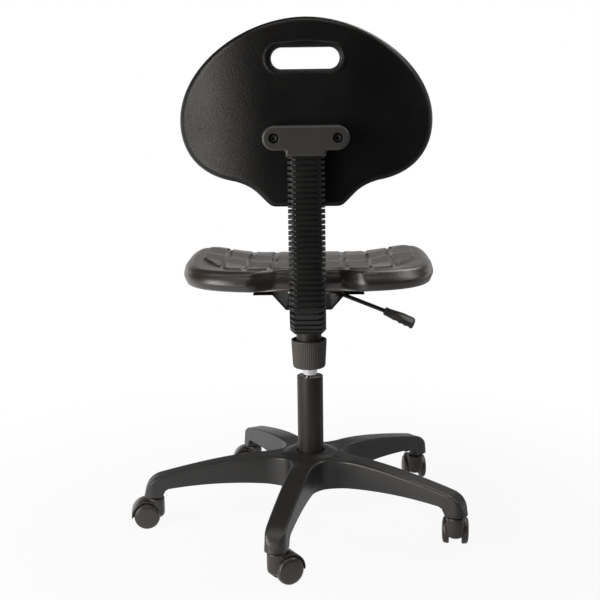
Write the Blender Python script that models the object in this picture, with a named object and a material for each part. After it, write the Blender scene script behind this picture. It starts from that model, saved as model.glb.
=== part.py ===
"""Task chair: moulded seat and back, J-bar in a bellows, gas lift, five-star caster base."""
import math

import bpy
import bmesh

# Fits
GAP = 0.0003
TURN_GAP = 0.0005

# Casters
WHEEL_R = 0.025
WHEEL_W = 0.0135
WHEEL_IN = 0.0115
TRAIL = 0.018
HOOD_R = 0.0165
HOOD_RISE = 0.0085
HOOD_FOOT = 0.018
FENDER_T = 0.003
FENDER_HALF = 0.0185
FENDER_FROM = -8.0
FENDER_TO = 125.0
WHEEL_CLEAR = 0.0018
WHEEL_DISH = 0.0045
WHEEL_FACE = 0.005
BOSS_R = 0.009
BOSS_CLEAR = 0.0008
AXLE_R = 0.004
STEM_R = 0.0055
STEM_LEN = 0.024
STEM_SINK = 0.0137
COLLAR_R = 0.0125
COLLAR_T = 0.003
HEADINGS = (211.0, 263.0, 275.0, 0.0, 8.4)

# Base
LEG_REACH = 0.304
LEG_TURN = -11.0
LEG_HALF = 0.0185
LEG_SPREAD = 0.0025
LEG_TOP = 0.135
LEG_FALL = 0.034
FALL_FROM = 0.100
LEG_UNDER = 0.078
LEG_ARCH = 0.008
LEG_EDGE = 0.0045
LEG_DRAFT = 0.0015
LEG_FLARE = 0.010
FLARE_RUN = 0.040
LEG_SOLE = 0.016
LEG_STATIONS = (0.036, 0.098, 0.211, 0.394, 0.577, 0.760, 0.886)
NOSE_OUT = 0.020
NOSE_DROP = 0.028
NOSE_TAPER = 0.0085
LEG_WALL = 0.004
POCKET_IN = 0.018
POCKET_OUT = 0.036
POCKET_DRAFT = 0.003
POCKETS = 3
RIB = 0.004
HUB_TOP = 0.140
HUB_R = 0.046
HUB_FLAT_R = 0.034
HUB_ROUND = 0.0035
WEB_R = 0.058

# Gas lift
COLUMN_R = 0.025
COLUMN_WALL = 0.002
COLUMN_BOTTOM = 0.070
COLUMN_TOP = 0.289
STROKE = 0.120
TUBE_R = 0.014
TUBE_WALL = 0.002
ROD_R = 0.005
BUSH_LEN = 0.074
BASE_PLATE = 0.004
BEARING_R = 0.011
BEARING_T = 0.004
CLIP_R = 0.0075
CLIP_T = 0.0027
GUIDE_LEN = 0.014
HEAD_T = 0.012
BUTTON_R = 0.0032
BUTTON_UP = 0.0045

# Seat mechanism, heights below the seat's underside
DECK = 0.4615
SHEET = 0.003
TRAY_DEEP = 0.0315
TRAY_WEB = 0.041
TRAY_SLOPE = 0.025
TRAY_HALF = 0.103
TRAY_FRONT = -0.095
TRAY_REAR = 0.060
SOCKET_R = 0.021
TUBE_DROP = 0.0155
SOCKET_LIP = 0.005
SOCKET_LIP_T = 0.0037
SOCKET_LOW = 0.014
BOLT_EDGE = 0.016
BOLT_Y = (-0.080, 0.015)
BOLT_R = 0.003
BOLT_HEAD_R = 0.0062
BOLT_HEAD_T = 0.004

# Lever
LEVER_R = 0.004
LEVER_PIVOT = (-0.0579, -0.0117)
LEVER_MOUTH = (-0.1437, -0.0466)
LEVER_KINK = 0.012
LEVER_IN = 0.018
HANDLE_TILT = 25.0
HANDLE_LEN = 0.062
HANDLE_WIDE = 0.0125
HANDLE_HIGH = 0.0084
GROMMET_R = 0.0072
GROMMET_WALL = 0.0014
GROMMET_T = 0.0044

# J-bar and its clamp
BAR_W = 0.036
BAR_T = 0.007
GUIDE_WALL = 0.004
GUIDE_FRONT = 0.030
GUIDE_REAR = 0.128
BAR_FRONT = 0.032
BEND_R = 0.055
UPRIGHT_Y = 0.225
DEPTH_TRAVEL = 0.030
CLAMP_Y = 0.100
CLAMP_R = 0.005
CUP_R = 0.023
CUP_LOW = 0.112
CUP_WALL = 0.0025
CUP_ROOM = 0.003
CUP_LID = 0.004
CUP_NECK_R = 0.016
CUP_NECK = 0.0056
BOLT_CROWN_R = 0.0085
BOLT_CROWN_T = 0.006
KNOB_RIM_R = 0.0325
KNOB_FOOT_R = 0.0300
KNOB_H = 0.053
KNOB_DROP = 0.0775
KNOB_WALL = 0.0026
KNOB_FLOOR = 0.010
COIL_R = 0.015
COIL_WIRE = 0.002
COIL_TURNS = 6

# Back height slide, heights above the seat's underside
HEIGHT_TRAVEL = 0.060
BAR_TOP = 0.1635
SLIDE_W = 0.030
SLIDE_T = 0.004
SLIDE_LOW = 0.0785
SLIDE_HIGH = 0.3055
SLEEVE_H = 0.030
SLEEVE_WALL = 0.0024
PAWL_R = 0.0025

# Bellows
BELLOWS_W = 0.0625
BELLOWS_D = 0.034
BELLOWS_CHAMFER = 0.008
BELLOWS_WALL = 0.0015
RIB_SIDE = 0.0062
RIB_FACE = 0.0024
BELLOWS_FORWARD = 0.002
RIB_PITCH = 0.0091
BELLOWS_TOP = 0.2612
BELLOWS_END = 30.0

# Bracket
BRACKET_HALF = 0.0725
BRACKET_R = 0.0205
BRACKET_STEM = 0.0335
BRACKET_MID = 0.292
BRACKET_T = 0.0360
BRACKET_COVER = 0.001
BRACKET_ROUND = 0.004
BRACKET_FILLET = 0.006
SCREW_SINK = 0.012
SCREW_HEAD_R = 0.0065
SCREW_HEAD_T = 0.0077
SCREW_WELL_R = 0.0083
SCREW_X = 0.053
SCREW_R = 0.004
PLATE = (0.134, 0.005, 0.034)

# Backrest
BACK_HALF = 0.2165
BACK_UP = 0.171
BACK_DOWN = 0.1423
BACK_MID = 0.3175
BACK_T = 0.032
BACK_WING = 0.045
WING_FROM = 0.062
NECK_HALF = 0.059
SLOT_UP = 0.104
SLOT_HALF = 0.0394
SLOT_R = 0.0177

# Seat
SEAT_HALF = 0.228
SEAT_DEEP = 0.215
SEAT_T = 0.044
SEAT_RISE = 0.022
FRONT_DROP = 0.006
SEAT_POWER = 3.4
UNDER_REAR = 0.028
UNDER_SIDE = 0.022
UNDER_FRONT = 0.008
UNDER_EDGE = 0.94
TOP_ROLL = 0.0145
LOW_ROLL = 0.013
NOTCH = 0.030
NOTCH_HALF = 0.078
NOTCH_EASE = 0.026
BOARD = (0.300, 0.146, 0.011)
BOARD_Y = -0.038
FLAT_SIDE = 0.012
FLAT_END = 0.010
FLAT_POWER = 8.0


def clear_scene():
    for obj in list(bpy.data.objects):
        bpy.data.objects.remove(obj, do_unlink=True)


def material(name, rgb, rough, metal=0.0):
    mat = bpy.data.materials.new(name)
    mat.use_nodes = True
    shader = mat.node_tree.nodes["Principled BSDF"]
    shader.inputs["Base Color"].default_value = (*rgb, 1.0)
    shader.inputs["Roughness"].default_value = rough
    shader.inputs["Metallic"].default_value = metal
    return mat


def empty(name, at, parent=None, turn=0.0):
    obj = bpy.data.objects.new(name, None)
    bpy.context.scene.collection.objects.link(obj)
    obj.location = at
    obj.rotation_euler = (0.0, 0.0, math.radians(turn))
    obj.parent = parent
    return obj


def solid(name, verts, faces, look, parent, at=(0, 0, 0)):
    """One closed mesh; look is (colour, roughness, metallic) or None for a cutting helper."""
    mesh = bpy.data.meshes.new(name)
    mesh.from_pydata([tuple(v) for v in verts], [], faces)
    bm = bmesh.new()
    bm.from_mesh(mesh)
    bmesh.ops.remove_doubles(bm, verts=bm.verts, dist=1e-6)
    bmesh.ops.recalc_face_normals(bm, faces=bm.faces)
    bm.to_mesh(mesh)
    bm.free()
    obj = bpy.data.objects.new(name, mesh)
    bpy.context.scene.collection.objects.link(obj)
    obj.parent = parent
    obj.location = at
    if look is None:
        obj.hide_render = True
        obj.display_type = "WIRE"
    else:
        mesh.materials.append(material(name, *look))
        mesh.polygons.foreach_set("use_smooth", [True] * len(mesh.polygons))
        mesh.set_sharp_from_angle(angle=math.radians(38))
    return obj


def rings_to_faces(rings, closed):
    faces = []
    pairs = list(zip(rings, rings[1:]))
    if closed:
        pairs.append((rings[-1], rings[0]))
    for low, high in pairs:
        count = max(len(low), len(high))
        for i in range(count):
            j = (i + 1) % count
            if len(low) == 1:
                faces.append((low[0], high[i], high[j]))
            elif len(high) == 1:
                faces.append((low[i], low[j], high[0]))
            else:
                faces.append((low[i], low[j], high[j], high[i]))
    return faces


def skin(name, rings, look, parent, at=(0, 0, 0), closed=False):
    """A closed skin over rings of points; the end rings are capped unless the rings close up."""
    verts = []
    index = []
    for ring in rings:
        index.append(list(range(len(verts), len(verts) + len(ring))))
        verts.extend(ring)
    faces = rings_to_faces(index, closed)
    if not closed:
        faces.extend(tuple(ring) for ring in (index[0], index[-1]) if len(ring) > 1)
    return solid(name, verts, faces, look, parent, at)


def lathe(name, profile, segs, look, parent, at=(0, 0, 0), closed=False, axis="Z"):
    """A turned piece; profile holds (radius, height) points along the axis."""
    rings = []
    for radius, height in profile:
        if radius < 1e-7:
            rings.append([(0.0, 0.0, height)])
            continue
        ring = []
        for i in range(segs):
            a = 2.0 * math.pi * (i + 0.5) / segs
            ring.append((radius * math.cos(a), radius * math.sin(a), height))
        rings.append(ring)
    if axis == "Y":
        rings = [[(x, z, -y) for x, y, z in ring] for ring in rings]
    if axis == "X":
        rings = [[(z, x, y) for x, y, z in ring] for ring in rings]
    return skin(name, rings, look, parent, at, closed)


def rod(name, radius, low, high, segs, look, parent, at=(0, 0, 0), axis="Z"):
    profile = ((0.0, low), (radius, low), (radius, high), (0.0, high))
    return lathe(name, profile, segs, look, parent, at, axis=axis)


def ring_of(name, inner, outer, low, high, segs, look, parent, at=(0, 0, 0), axis="Z"):
    profile = ((inner, low), (outer, low), (outer, high), (inner, high))
    return lathe(name, profile, segs, look, parent, at, True, axis)


def block(name, low, high, look, parent):
    """A plain box between two corners."""
    rings = []
    for z in (low[2], high[2]):
        rings.append([(low[0], low[1], z), (high[0], low[1], z),
                      (high[0], high[1], z), (low[0], high[1], z)])
    return skin(name, rings, look, parent)


def boolean(target, tool, mode="DIFFERENCE"):
    mod = target.modifiers.new(tool.name, "BOOLEAN")
    mod.operation = mode
    mod.solver = "EXACT"
    mod.object = tool


def smooth_step(x, low, high):
    t = min(1.0, max(0.0, (x - low) / (high - low)))
    return t * t * (3.0 - 2.0 * t)


def bezier(p0, p1, p2, p3, count):
    """Points of one cubic curve, without its last point."""
    points = []
    for i in range(count):
        t = i / count
        a, b, c, d = (1 - t) ** 3, 3 * t * (1 - t) ** 2, 3 * t * t * (1 - t), t ** 3
        points.append((a * p0[0] + b * p1[0] + c * p2[0] + d * p3[0],
                       a * p0[1] + b * p1[1] + c * p2[1] + d * p3[1]))
    return points


def inset(outline, amount):
    """An outline, counter-clockwise, moved inwards along its corner normals."""
    moved = []
    count = len(outline)
    for i, (x, y) in enumerate(outline):
        ax, ay = outline[i - 1]
        bx, by = outline[(i + 1) % count]
        tx, ty = bx - ax, by - ay
        size = math.hypot(tx, ty)
        moved.append((x - amount * ty / size, y + amount * tx / size))
    return moved


# Looks
RUBBER = ((0.012, 0.012, 0.012), 0.6)
FOAM = ((0.016, 0.015, 0.015), 0.5)
NYLON = ((0.035, 0.035, 0.036), 0.5)
CASTER = ((0.055, 0.048, 0.045), 0.35)
BLACK_STEEL = ((0.015, 0.015, 0.016), 0.4, 0.3)
STEEL = ((0.55, 0.55, 0.56), 0.35, 1.0)
CHROME = ((0.75, 0.75, 0.76), 0.12, 1.0)
ACETAL = ((0.55, 0.55, 0.53), 0.5)
WOOD = ((0.42, 0.29, 0.17), 0.7)

# Derived heights
HOOD_TOP = 2.0 * WHEEL_R + HOOD_RISE
LEG_END = HOOD_TOP + COLLAR_T + 2.0 * GAP
FENDER_R = WHEEL_R + WHEEL_CLEAR + FENDER_T
FLANGE_TOP = DECK - GAP
WEB_LOW = DECK - TRAY_DEEP
TUBE_TOP = DECK - TUBE_DROP
TUBE_LOW = COLUMN_BOTTOM + 2.5 * BASE_PLATE + STROKE
GUIDE_TOP = WEB_LOW - GAP
BAR_UP = GUIDE_TOP - GUIDE_WALL - GAP
ARM_Z = BAR_UP - BAR_T / 2.0
BAR_LOW = BAR_UP - BAR_T
BEND_Y = UPRIGHT_Y - BEND_R
BEND_Z = ARM_Z + BEND_R
BELLOWS_Y = UPRIGHT_Y - BELLOWS_FORWARD
SLIDE_REAR = UPRIGHT_Y - BAR_T / 2.0 - GAP
SLIDE_FRONT = SLIDE_REAR - SLIDE_T
BRACKET_REAR = BELLOWS_Y + BELLOWS_D / 2.0 + BRACKET_COVER
BACK_FACE = BRACKET_REAR - BRACKET_T - GAP
BOLT_X = TRAY_HALF - BOLT_EDGE
BOARD_LOW = DECK + GAP
SEAT_TOP = DECK + SEAT_T


def leg_place(k):
    a = math.radians(LEG_TURN + 72.0 * k)
    return (-LEG_REACH * math.sin(a), LEG_REACH * math.cos(a))


# Base
def leg_top(r):
    return LEG_TOP - LEG_FALL * max(0.0, (r - FALL_FROM) / (LEG_REACH - FALL_FROM)) ** 1.45


def leg_under(r):
    if r > LEG_REACH - LEG_SOLE:
        return LEG_END
    mid = LEG_REACH * 0.576
    span = LEG_REACH - LEG_SOLE - mid
    return LEG_UNDER + LEG_ARCH * (1.0 - ((r - mid) / span) ** 2)


def leg_half(r):
    flare = LEG_FLARE * max(0.0, 1.0 - (r - WEB_R) / FLARE_RUN) ** 2.2
    return LEG_HALF + LEG_SPREAD * (LEG_REACH - r) / LEG_REACH + flare


def build_base(root):
    hub = [(HUB_FLAT_R, HUB_TOP), (HUB_R, HUB_TOP - HUB_ROUND), (WEB_R, LEG_TOP - 0.0005)]
    legs = []
    for share in LEG_STATIONS:
        r = WEB_R + share * (LEG_REACH - WEB_R)
        legs.append((r, leg_top(r), leg_under(r), leg_half(r)))
    near = LEG_REACH - 0.88 * LEG_SOLE
    legs.append((near, leg_top(near), LEG_END, leg_half(near)))
    legs.append((LEG_REACH, leg_top(LEG_REACH) - 0.002, LEG_END, LEG_HALF))
    for out, drop, taper in ((0.475, 0.27, 0.21), (0.825, 0.61, 0.59), (1.0, 1.0, 1.0)):
        legs.append((LEG_REACH + NOSE_OUT * out, leg_top(LEG_REACH) - NOSE_DROP * drop, LEG_END,
                     LEG_HALF - NOSE_TAPER * taper))
    verts = [(0.0, 0.0, HUB_TOP), (0.0, 0.0, LEG_UNDER)]
    faces = []
    fractions = (-1.0, -0.86, -0.6, 0.0, 0.6, 0.86, 1.0)
    for k in range(5):
        a = math.radians(LEG_TURN + 72.0 * k)
        along = (-math.sin(a), math.cos(a))
        side = (math.cos(a), math.sin(a))
        tops = []
        lows = []

        def add(u, v, z):
            verts.append((along[0] * u + side[0] * v, along[1] * u + side[1] * v, z))
            return len(verts) - 1

        for r, z in hub:
            row = []
            for f in fractions:
                t = math.radians(36.0 * f)
                edge = LEG_EDGE if r == WEB_R and abs(f) == 1.0 else 0.0
                row.append(add(r * math.cos(t), r * math.sin(t), z - edge))
            tops.append(row)
            low = []
            for f in (-1.0, 0.0, 1.0):
                t = math.radians(36.0 * f)
                low.append(add(r * math.cos(t), r * math.sin(t), LEG_UNDER))
            lows.append(low)
        for r, top, under, half in legs:
            row = []
            turn = 0.293 * LEG_EDGE
            for v, drop in ((-half, LEG_EDGE), (-half + turn, turn), (-half + LEG_EDGE, 0.0), (0.0, 0.0),
                            (half - LEG_EDGE, 0.0), (half - turn, turn), (half, LEG_EDGE)):
                row.append(add(r, v, top - drop))
            tops.append(row)
            lows.append([add(r, v, under) for v in (-half - LEG_DRAFT, 0.0, half + LEG_DRAFT)])
        for j in range(6):
            faces.append((0, tops[0][j], tops[0][j + 1]))
        for j in range(2):
            faces.append((1, lows[0][j + 1], lows[0][j]))
        for i in range(len(tops) - 1):
            for j in range(6):
                faces.append((tops[i][j], tops[i + 1][j], tops[i + 1][j + 1], tops[i][j + 1]))
            for j in range(2):
                faces.append((lows[i][j], lows[i][j + 1], lows[i + 1][j + 1], lows[i + 1][j]))
            if i >= len(hub) - 1:
                faces.append((tops[i][0], lows[i][0], lows[i + 1][0], tops[i + 1][0]))
                faces.append((tops[i][6], tops[i + 1][6], lows[i + 1][2], lows[i][2]))
        faces.append(tuple(tops[-1]) + tuple(reversed(lows[-1])))
    base = solid("base_star", verts, faces, NYLON, root)
    bore = rod("cut_hub_bore", COLUMN_R + GAP, LEG_UNDER - 0.02, HUB_TOP + 0.02, 28, None, root)
    boolean(base, bore)
    verts = []
    faces = []
    first = WEB_R + POCKET_IN
    length = (LEG_REACH - POCKET_OUT - first - (POCKETS - 1) * RIB) / POCKETS
    for k in range(5):
        a = math.radians(LEG_TURN + 72.0 * k)
        along = (-math.sin(a), math.cos(a))
        side = (math.cos(a), math.sin(a))
        for pocket in range(POCKETS):
            near = first + pocket * (length + RIB)
            start = len(verts)
            for r in (near, near + length):
                half = leg_half(r) - LEG_WALL
                roof = leg_top(r) - LEG_WALL - POCKET_DRAFT
                low = LEG_UNDER / 2.0
                narrow = half - POCKET_DRAFT
                for v, z in ((-half, low), (half, low), (narrow, roof), (-narrow, roof)):
                    verts.append((along[0] * r + side[0] * v, along[1] * r + side[1] * v, z))
            near_ring = [start, start + 1, start + 2, start + 3]
            far_ring = [start + 4, start + 5, start + 6, start + 7]
            faces.extend(rings_to_faces([near_ring, far_ring], False))
            faces.extend([tuple(near_ring), tuple(far_ring)])
    boolean(base, solid("cut_leg_pockets", verts, faces, None, root))
    for k in range(5):
        x, y = leg_place(k)
        hole = rod(f"cut_stem_{k + 1}", STEM_R + TURN_GAP, LEG_END - 0.01, LEG_END + STEM_LEN + 0.001,
                   12, None, root, (x, y, 0.0))
        boolean(base, hole)


# Casters
def build_caster(k, root):
    name = f"caster_{k + 1}"
    x, y = leg_place(k)
    spot = empty(f"{name}_swivel", (x, y, 0.0), root, HEADINGS[k])
    hub_half = WHEEL_IN - BOSS_CLEAR
    profile = ((0.0, HOOD_FOOT), (HOOD_R - 0.0055, HOOD_FOOT), (HOOD_R - 0.001, HOOD_FOOT + 0.0045),
               (HOOD_R, HOOD_FOOT + 0.011), (HOOD_R, HOOD_TOP - 0.003), (HOOD_R - 0.002, HOOD_TOP),
               (0.0, HOOD_TOP))
    hood = lathe(f"{name}_hood", profile, 16, CASTER, spot)
    hub = (TRAIL, 0.0, WHEEL_R)
    arc = [(TRAIL, WHEEL_R)]
    for i in range(8):
        a = math.radians(FENDER_FROM + (FENDER_TO - FENDER_FROM) * i / 7)
        arc.append((TRAIL + FENDER_R * math.cos(a), WHEEL_R + FENDER_R * math.sin(a)))
    rings = [[(px, v, pz) for px, pz in arc] for v in (-FENDER_HALF, FENDER_HALF)]
    boolean(hood, skin(f"add_{name}_fender", rings, None, spot), "UNION")
    boss = rod(f"add_{name}_boss", BOSS_R, -hub_half, hub_half, 12, None, spot, hub, "Y")
    boolean(hood, boss, "UNION")
    for side, sign in (("left", 1.0), ("right", -1.0)):
        span = sorted((sign * hub_half, sign * 2.0 * FENDER_HALF))
        room = rod(f"cut_{name}_{side}", WHEEL_R + WHEEL_CLEAR, span[0], span[1], 18, None, spot, hub, "Y")
        boolean(hood, room)
    reach = 2.0 * FENDER_HALF
    pin = rod(f"cut_{name}_axle", AXLE_R + GAP, -reach, reach, 10, None, spot, hub, "Y")
    boolean(hood, pin)
    stem_low = HOOD_TOP - STEM_SINK
    hole = rod(f"cut_{name}_stem", STEM_R + GAP, stem_low - GAP, HOOD_TOP + 0.01, 12, None, spot)
    boolean(hood, hole)
    low = HOOD_TOP + GAP
    profile = ((0.0, stem_low), (STEM_R, stem_low), (STEM_R, low), (COLLAR_R, low),
               (COLLAR_R, low + COLLAR_T), (STEM_R, low + COLLAR_T), (STEM_R, LEG_END + STEM_LEN),
               (0.0, LEG_END + STEM_LEN))
    lathe(f"{name}_stem", profile, 12, STEEL, spot)
    out = WHEEL_IN + WHEEL_W
    end = out - WHEEL_FACE
    half = end - 2.0 * GAP
    rod(f"{name}_axle", AXLE_R, -half, half, 10, STEEL, spot, hub, "Y")
    for side, sign in (("left", 1.0), ("right", -1.0)):
        profile = ((0.0, out), (0.7 * WHEEL_R, out - 0.18 * WHEEL_DISH),
                   (WHEEL_R - 0.0012, out - WHEEL_DISH), (WHEEL_R, out - 1.9 * WHEEL_DISH),
                   (WHEEL_R, WHEEL_IN), (AXLE_R + GAP, WHEEL_IN), (AXLE_R + GAP, end), (0.0, end))
        lathe(f"{name}_wheel_{side}", [(r, sign * h) for r, h in profile], 18, CASTER, spot, hub, axis="Y")


# Gas lift
def build_lift(root):
    inner = COLUMN_R - COLUMN_WALL
    plate = COLUMN_BOTTOM + BASE_PLATE
    hole = ROD_R - TURN_GAP
    profile = ((COLUMN_R, COLUMN_BOTTOM), (COLUMN_R, COLUMN_TOP - 0.001), (COLUMN_R - 0.0006, COLUMN_TOP),
               (inner, COLUMN_TOP), (inner, plate), (hole, plate), (hole, COLUMN_BOTTOM))
    lathe("gas_column", profile, 28, BLACK_STEEL, root, closed=True)
    ring_of("column_bush", TUBE_R + GAP, inner - GAP, COLUMN_TOP - BUSH_LEN, COLUMN_TOP - 0.0005, 24,
            ACETAL, root)
    bearing_top = plate + GAP + BEARING_T
    ring_of("thrust_bearing", hole - 0.0002, BEARING_R, plate + GAP, bearing_top, 16, STEEL, root)
    bore = TUBE_R - TUBE_WALL
    bore_top = TUBE_TOP - 0.008
    valve = BUTTON_R + 0.0004
    slip = ROD_R + 0.0004
    guide = TUBE_LOW + GUIDE_LEN
    profile = ((TUBE_R, TUBE_LOW), (TUBE_R, TUBE_TOP), (valve, TUBE_TOP), (valve, bore_top),
               (bore, bore_top), (bore, guide), (slip, guide), (slip, TUBE_LOW))
    lathe("pressure_tube", profile, 24, CHROME, root, closed=True)
    head = bore_top - STROKE - 0.018
    shoulder = bearing_top + GAP
    spigot = ROD_R - 2.0 * TURN_GAP
    tip = COLUMN_BOTTOM - GAP - CLIP_T - 0.001
    ring = bore - TURN_GAP
    profile = ((0.0, tip), (spigot, tip), (spigot, shoulder), (ROD_R, shoulder), (ROD_R, head - HEAD_T),
               (ring, head - HEAD_T), (ring, head), (0.0, head))
    lathe("piston_rod", profile, 12, STEEL, root)
    clip_top = COLUMN_BOTTOM - GAP
    ring_of("rod_clip", spigot + GAP, CLIP_R, clip_top - CLIP_T, clip_top, 12, STEEL, root)
    rod("release_button", BUTTON_R, TUBE_TOP - 0.014, TUBE_TOP + BUTTON_UP, 12, STEEL, root)


# Tray, socket and lever
def build_tray(root):
    web_up = WEB_LOW + SHEET
    flange_low = FLANGE_TOP - SHEET
    lean = SHEET * 0.47
    brow = TRAY_WEB + TRAY_SLOPE
    outer = [(TRAY_HALF, flange_low), (brow + lean, flange_low), (TRAY_WEB + lean, WEB_LOW)]
    inner = [(TRAY_WEB, web_up), (brow, FLANGE_TOP), (TRAY_HALF, FLANGE_TOP)]
    outline = outer + [(-x, z) for x, z in reversed(outer)]
    outline += [(-x, z) for x, z in reversed(inner)] + inner
    rings = [[(x, y, z) for x, z in outline] for y in (TRAY_FRONT, TRAY_REAR)]
    tray = skin("mech_tray", rings, BLACK_STEEL, root)
    boolean(tray, rod("cut_tray_socket", SOCKET_R + GAP, WEB_LOW - 0.01, web_up + 0.01, 24, None, root))
    px, pz = LEVER_PIVOT[0], DECK + LEVER_PIVOT[1]
    spot = (0.0, 0.0, pz)
    boolean(tray, rod("cut_tray_lever", GROMMET_R + GAP, px - 0.012, px + 0.012, 16, None, root, spot, "X"))
    half = GROMMET_T / 2.0
    inner = GROMMET_R - GROMMET_WALL
    ring_of("lever_grommet", inner, GROMMET_R, px - half, px + half, 16, RUBBER, root, spot, "X")
    top = TUBE_TOP + GAP
    low = WEB_LOW - SOCKET_LOW
    lip_top = WEB_LOW - GAP
    lip_low = lip_top - SOCKET_LIP_T
    profile = ((TUBE_R + GAP, low), (SOCKET_R, low), (SOCKET_R, lip_low), (SOCKET_R + SOCKET_LIP, lip_low),
               (SOCKET_R + SOCKET_LIP, lip_top), (SOCKET_R, lip_top), (SOCKET_R, top), (TUBE_R + GAP, top))
    lathe("gas_socket", profile, 24, BLACK_STEEL, root, closed=True)
    board_top = BOARD_LOW + BOARD[2]
    board = block("seat_board", (-BOARD[0] / 2, BOARD_Y - BOARD[1] / 2, BOARD_LOW),
                  (BOARD[0] / 2, BOARD_Y + BOARD[1] / 2, board_top), WOOD, root)
    low = flange_low - GAP
    count = 0
    for x in (-BOLT_X, BOLT_X):
        for y in BOLT_Y:
            count += 1
            profile = ((0.0, low - BOLT_HEAD_T), (BOLT_HEAD_R - 0.0004, low - BOLT_HEAD_T),
                       (BOLT_HEAD_R, low - BOLT_HEAD_T + 0.001), (BOLT_HEAD_R, low), (BOLT_R, low),
                       (BOLT_R, board_top - 0.001), (0.0, board_top - 0.001))
            spot = (x, y, 0.0)
            lathe(f"seat_bolt_{count}", profile, 12, STEEL, root, spot)
            free = BOLT_R + 0.0004
            hole = rod(f"cut_bolt_{count}", free, low - 0.01, board_top + 0.01, 12, None, root, spot)
            boolean(tray, hole)
            boolean(board, hole)


def lever_ring(x, z, tilt, wide, high, sides=12):
    """One section across the lever; tilt is the angle of its axis below level, pointing to -X."""
    ring = []
    for i in range(sides):
        a = 2.0 * math.pi * (i + 0.5) / sides
        up = high * math.sin(a)
        ring.append((x - up * math.sin(tilt), wide * math.cos(a), z + up * math.cos(tilt)))
    return ring


def build_lever(root):
    px, pz = LEVER_PIVOT[0], DECK + LEVER_PIVOT[1]
    mx, mz = LEVER_MOUTH[0], DECK + LEVER_MOUTH[1]
    tilt = math.radians(HANDLE_TILT)
    dx, dz = -math.cos(tilt), -math.sin(tilt)
    pivot = empty("lever_pivot", (px, 0.0, pz), root)
    top = TUBE_TOP + BUTTON_UP + 3.0 * GAP + LEVER_R
    slope = (pz - mz) / (px - mx)
    path = [(0.006, top), (px + LEVER_KINK, pz + LEVER_KINK * slope), (mx, mz),
            (mx + LEVER_IN * dx, mz + LEVER_IN * dz)]
    rings = []
    for i, (x, z) in enumerate(path):
        before = path[max(0, i - 1)]
        after = path[min(len(path) - 1, i + 1)]
        lean = math.atan2(before[1] - after[1], before[0] - after[0])
        rings.append(lever_ring(x - px, z - pz, lean, LEVER_R, LEVER_R, 10))
    skin("lever_rod", rings, BLACK_STEEL, pivot)
    sx, sz = mx - px, mz - pz
    rings = []
    for u, wide, high in ((0.0, 0.50, 0.74), (0.20, 0.59, 0.83), (0.40, 0.84, 0.93), (0.70, 1.0, 1.0),
                          (0.90, 0.94, 0.95), (0.958, 0.84, 0.79), (1.0, 0.56, 0.42)):
        u = u * HANDLE_LEN
        rings.append(lever_ring(sx + u * dx, sz + u * dz, tilt, HANDLE_WIDE * wide, HANDLE_HIGH * high))
    handle = skin("lever_handle", rings, NYLON, pivot)
    hole = []
    for u in (-0.01, LEVER_IN + GAP):
        hole.append(lever_ring(sx + u * dx, sz + u * dz, tilt, LEVER_R + GAP, LEVER_R + GAP, 10))
    boolean(handle, skin("cut_handle", hole, None, pivot))


# J-bar, guide and clamp
def build_clamp(root):
    half = BAR_W / 2 + GAP
    low = BAR_LOW - GAP
    guide = block("bar_guide", (-half - GUIDE_WALL, GUIDE_FRONT, low - GUIDE_WALL),
                  (half + GUIDE_WALL, GUIDE_REAR, GUIDE_TOP), BLACK_STEEL, root)
    past = GUIDE_REAR + 0.01
    boolean(guide, block("cut_guide", (-half, GUIDE_FRONT - 0.01, low), (half, past, BAR_UP + GAP),
                         None, root))
    mouth = CLAMP_Y - CUP_R - CUP_ROOM
    boolean(guide, block("cut_guide_low", (-half, mouth, low - 0.02), (half, past, low + 0.002), None, root))
    spot = (0.0, CLAMP_Y, 0.0)
    boolean(guide, rod("cut_guide_bolt", CLAMP_R + GAP, BAR_UP, GUIDE_TOP + 0.01, 16, None, root, spot))
    knob_low = DECK - KNOB_DROP - KNOB_H
    head = GUIDE_TOP + GAP
    tip = knob_low + KNOB_FLOOR / 2.0
    profile = ((0.0, tip), (CLAMP_R, tip), (CLAMP_R, head), (BOLT_CROWN_R, head),
               (BOLT_CROWN_R, head + BOLT_CROWN_T), (0.0, head + BOLT_CROWN_T))
    lathe("clamp_bolt", profile, 12, STEEL, root, spot)
    cup_low = DECK - CUP_LOW
    cup_top = BAR_LOW - GAP
    disc = cup_top - CUP_NECK
    lid = disc - CUP_LID
    slip = CLAMP_R + 0.0004
    profile = ((CUP_R, cup_low), (CUP_R, disc), (CUP_NECK_R, disc), (CUP_NECK_R, cup_top), (slip, cup_top),
               (slip, lid), (CUP_R - CUP_WALL, lid), (CUP_R - CUP_WALL, cup_low))
    lathe("spring_cup", profile, 24, BLACK_STEEL, root, spot, True)
    rim = knob_low + KNOB_H
    floor = knob_low + KNOB_FLOOR
    hub_r = CLAMP_R + 0.004
    hub_top = floor + 0.008
    profile = ((0.0, knob_low), (KNOB_FOOT_R - 0.004, knob_low), (KNOB_FOOT_R - 0.001, knob_low + 0.0012),
               (KNOB_FOOT_R, knob_low + 0.004), (KNOB_RIM_R, rim), (KNOB_RIM_R - KNOB_WALL, rim),
               (KNOB_FOOT_R - KNOB_WALL, floor), (hub_r, floor), (hub_r, hub_top), (CLAMP_R + GAP, hub_top),
               (CLAMP_R + GAP, tip - TURN_GAP), (0.0, tip - TURN_GAP))
    lathe("clamp_knob", profile, 28, NYLON, root, spot)
    build_coil(root, floor + GAP, lid - GAP)


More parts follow.
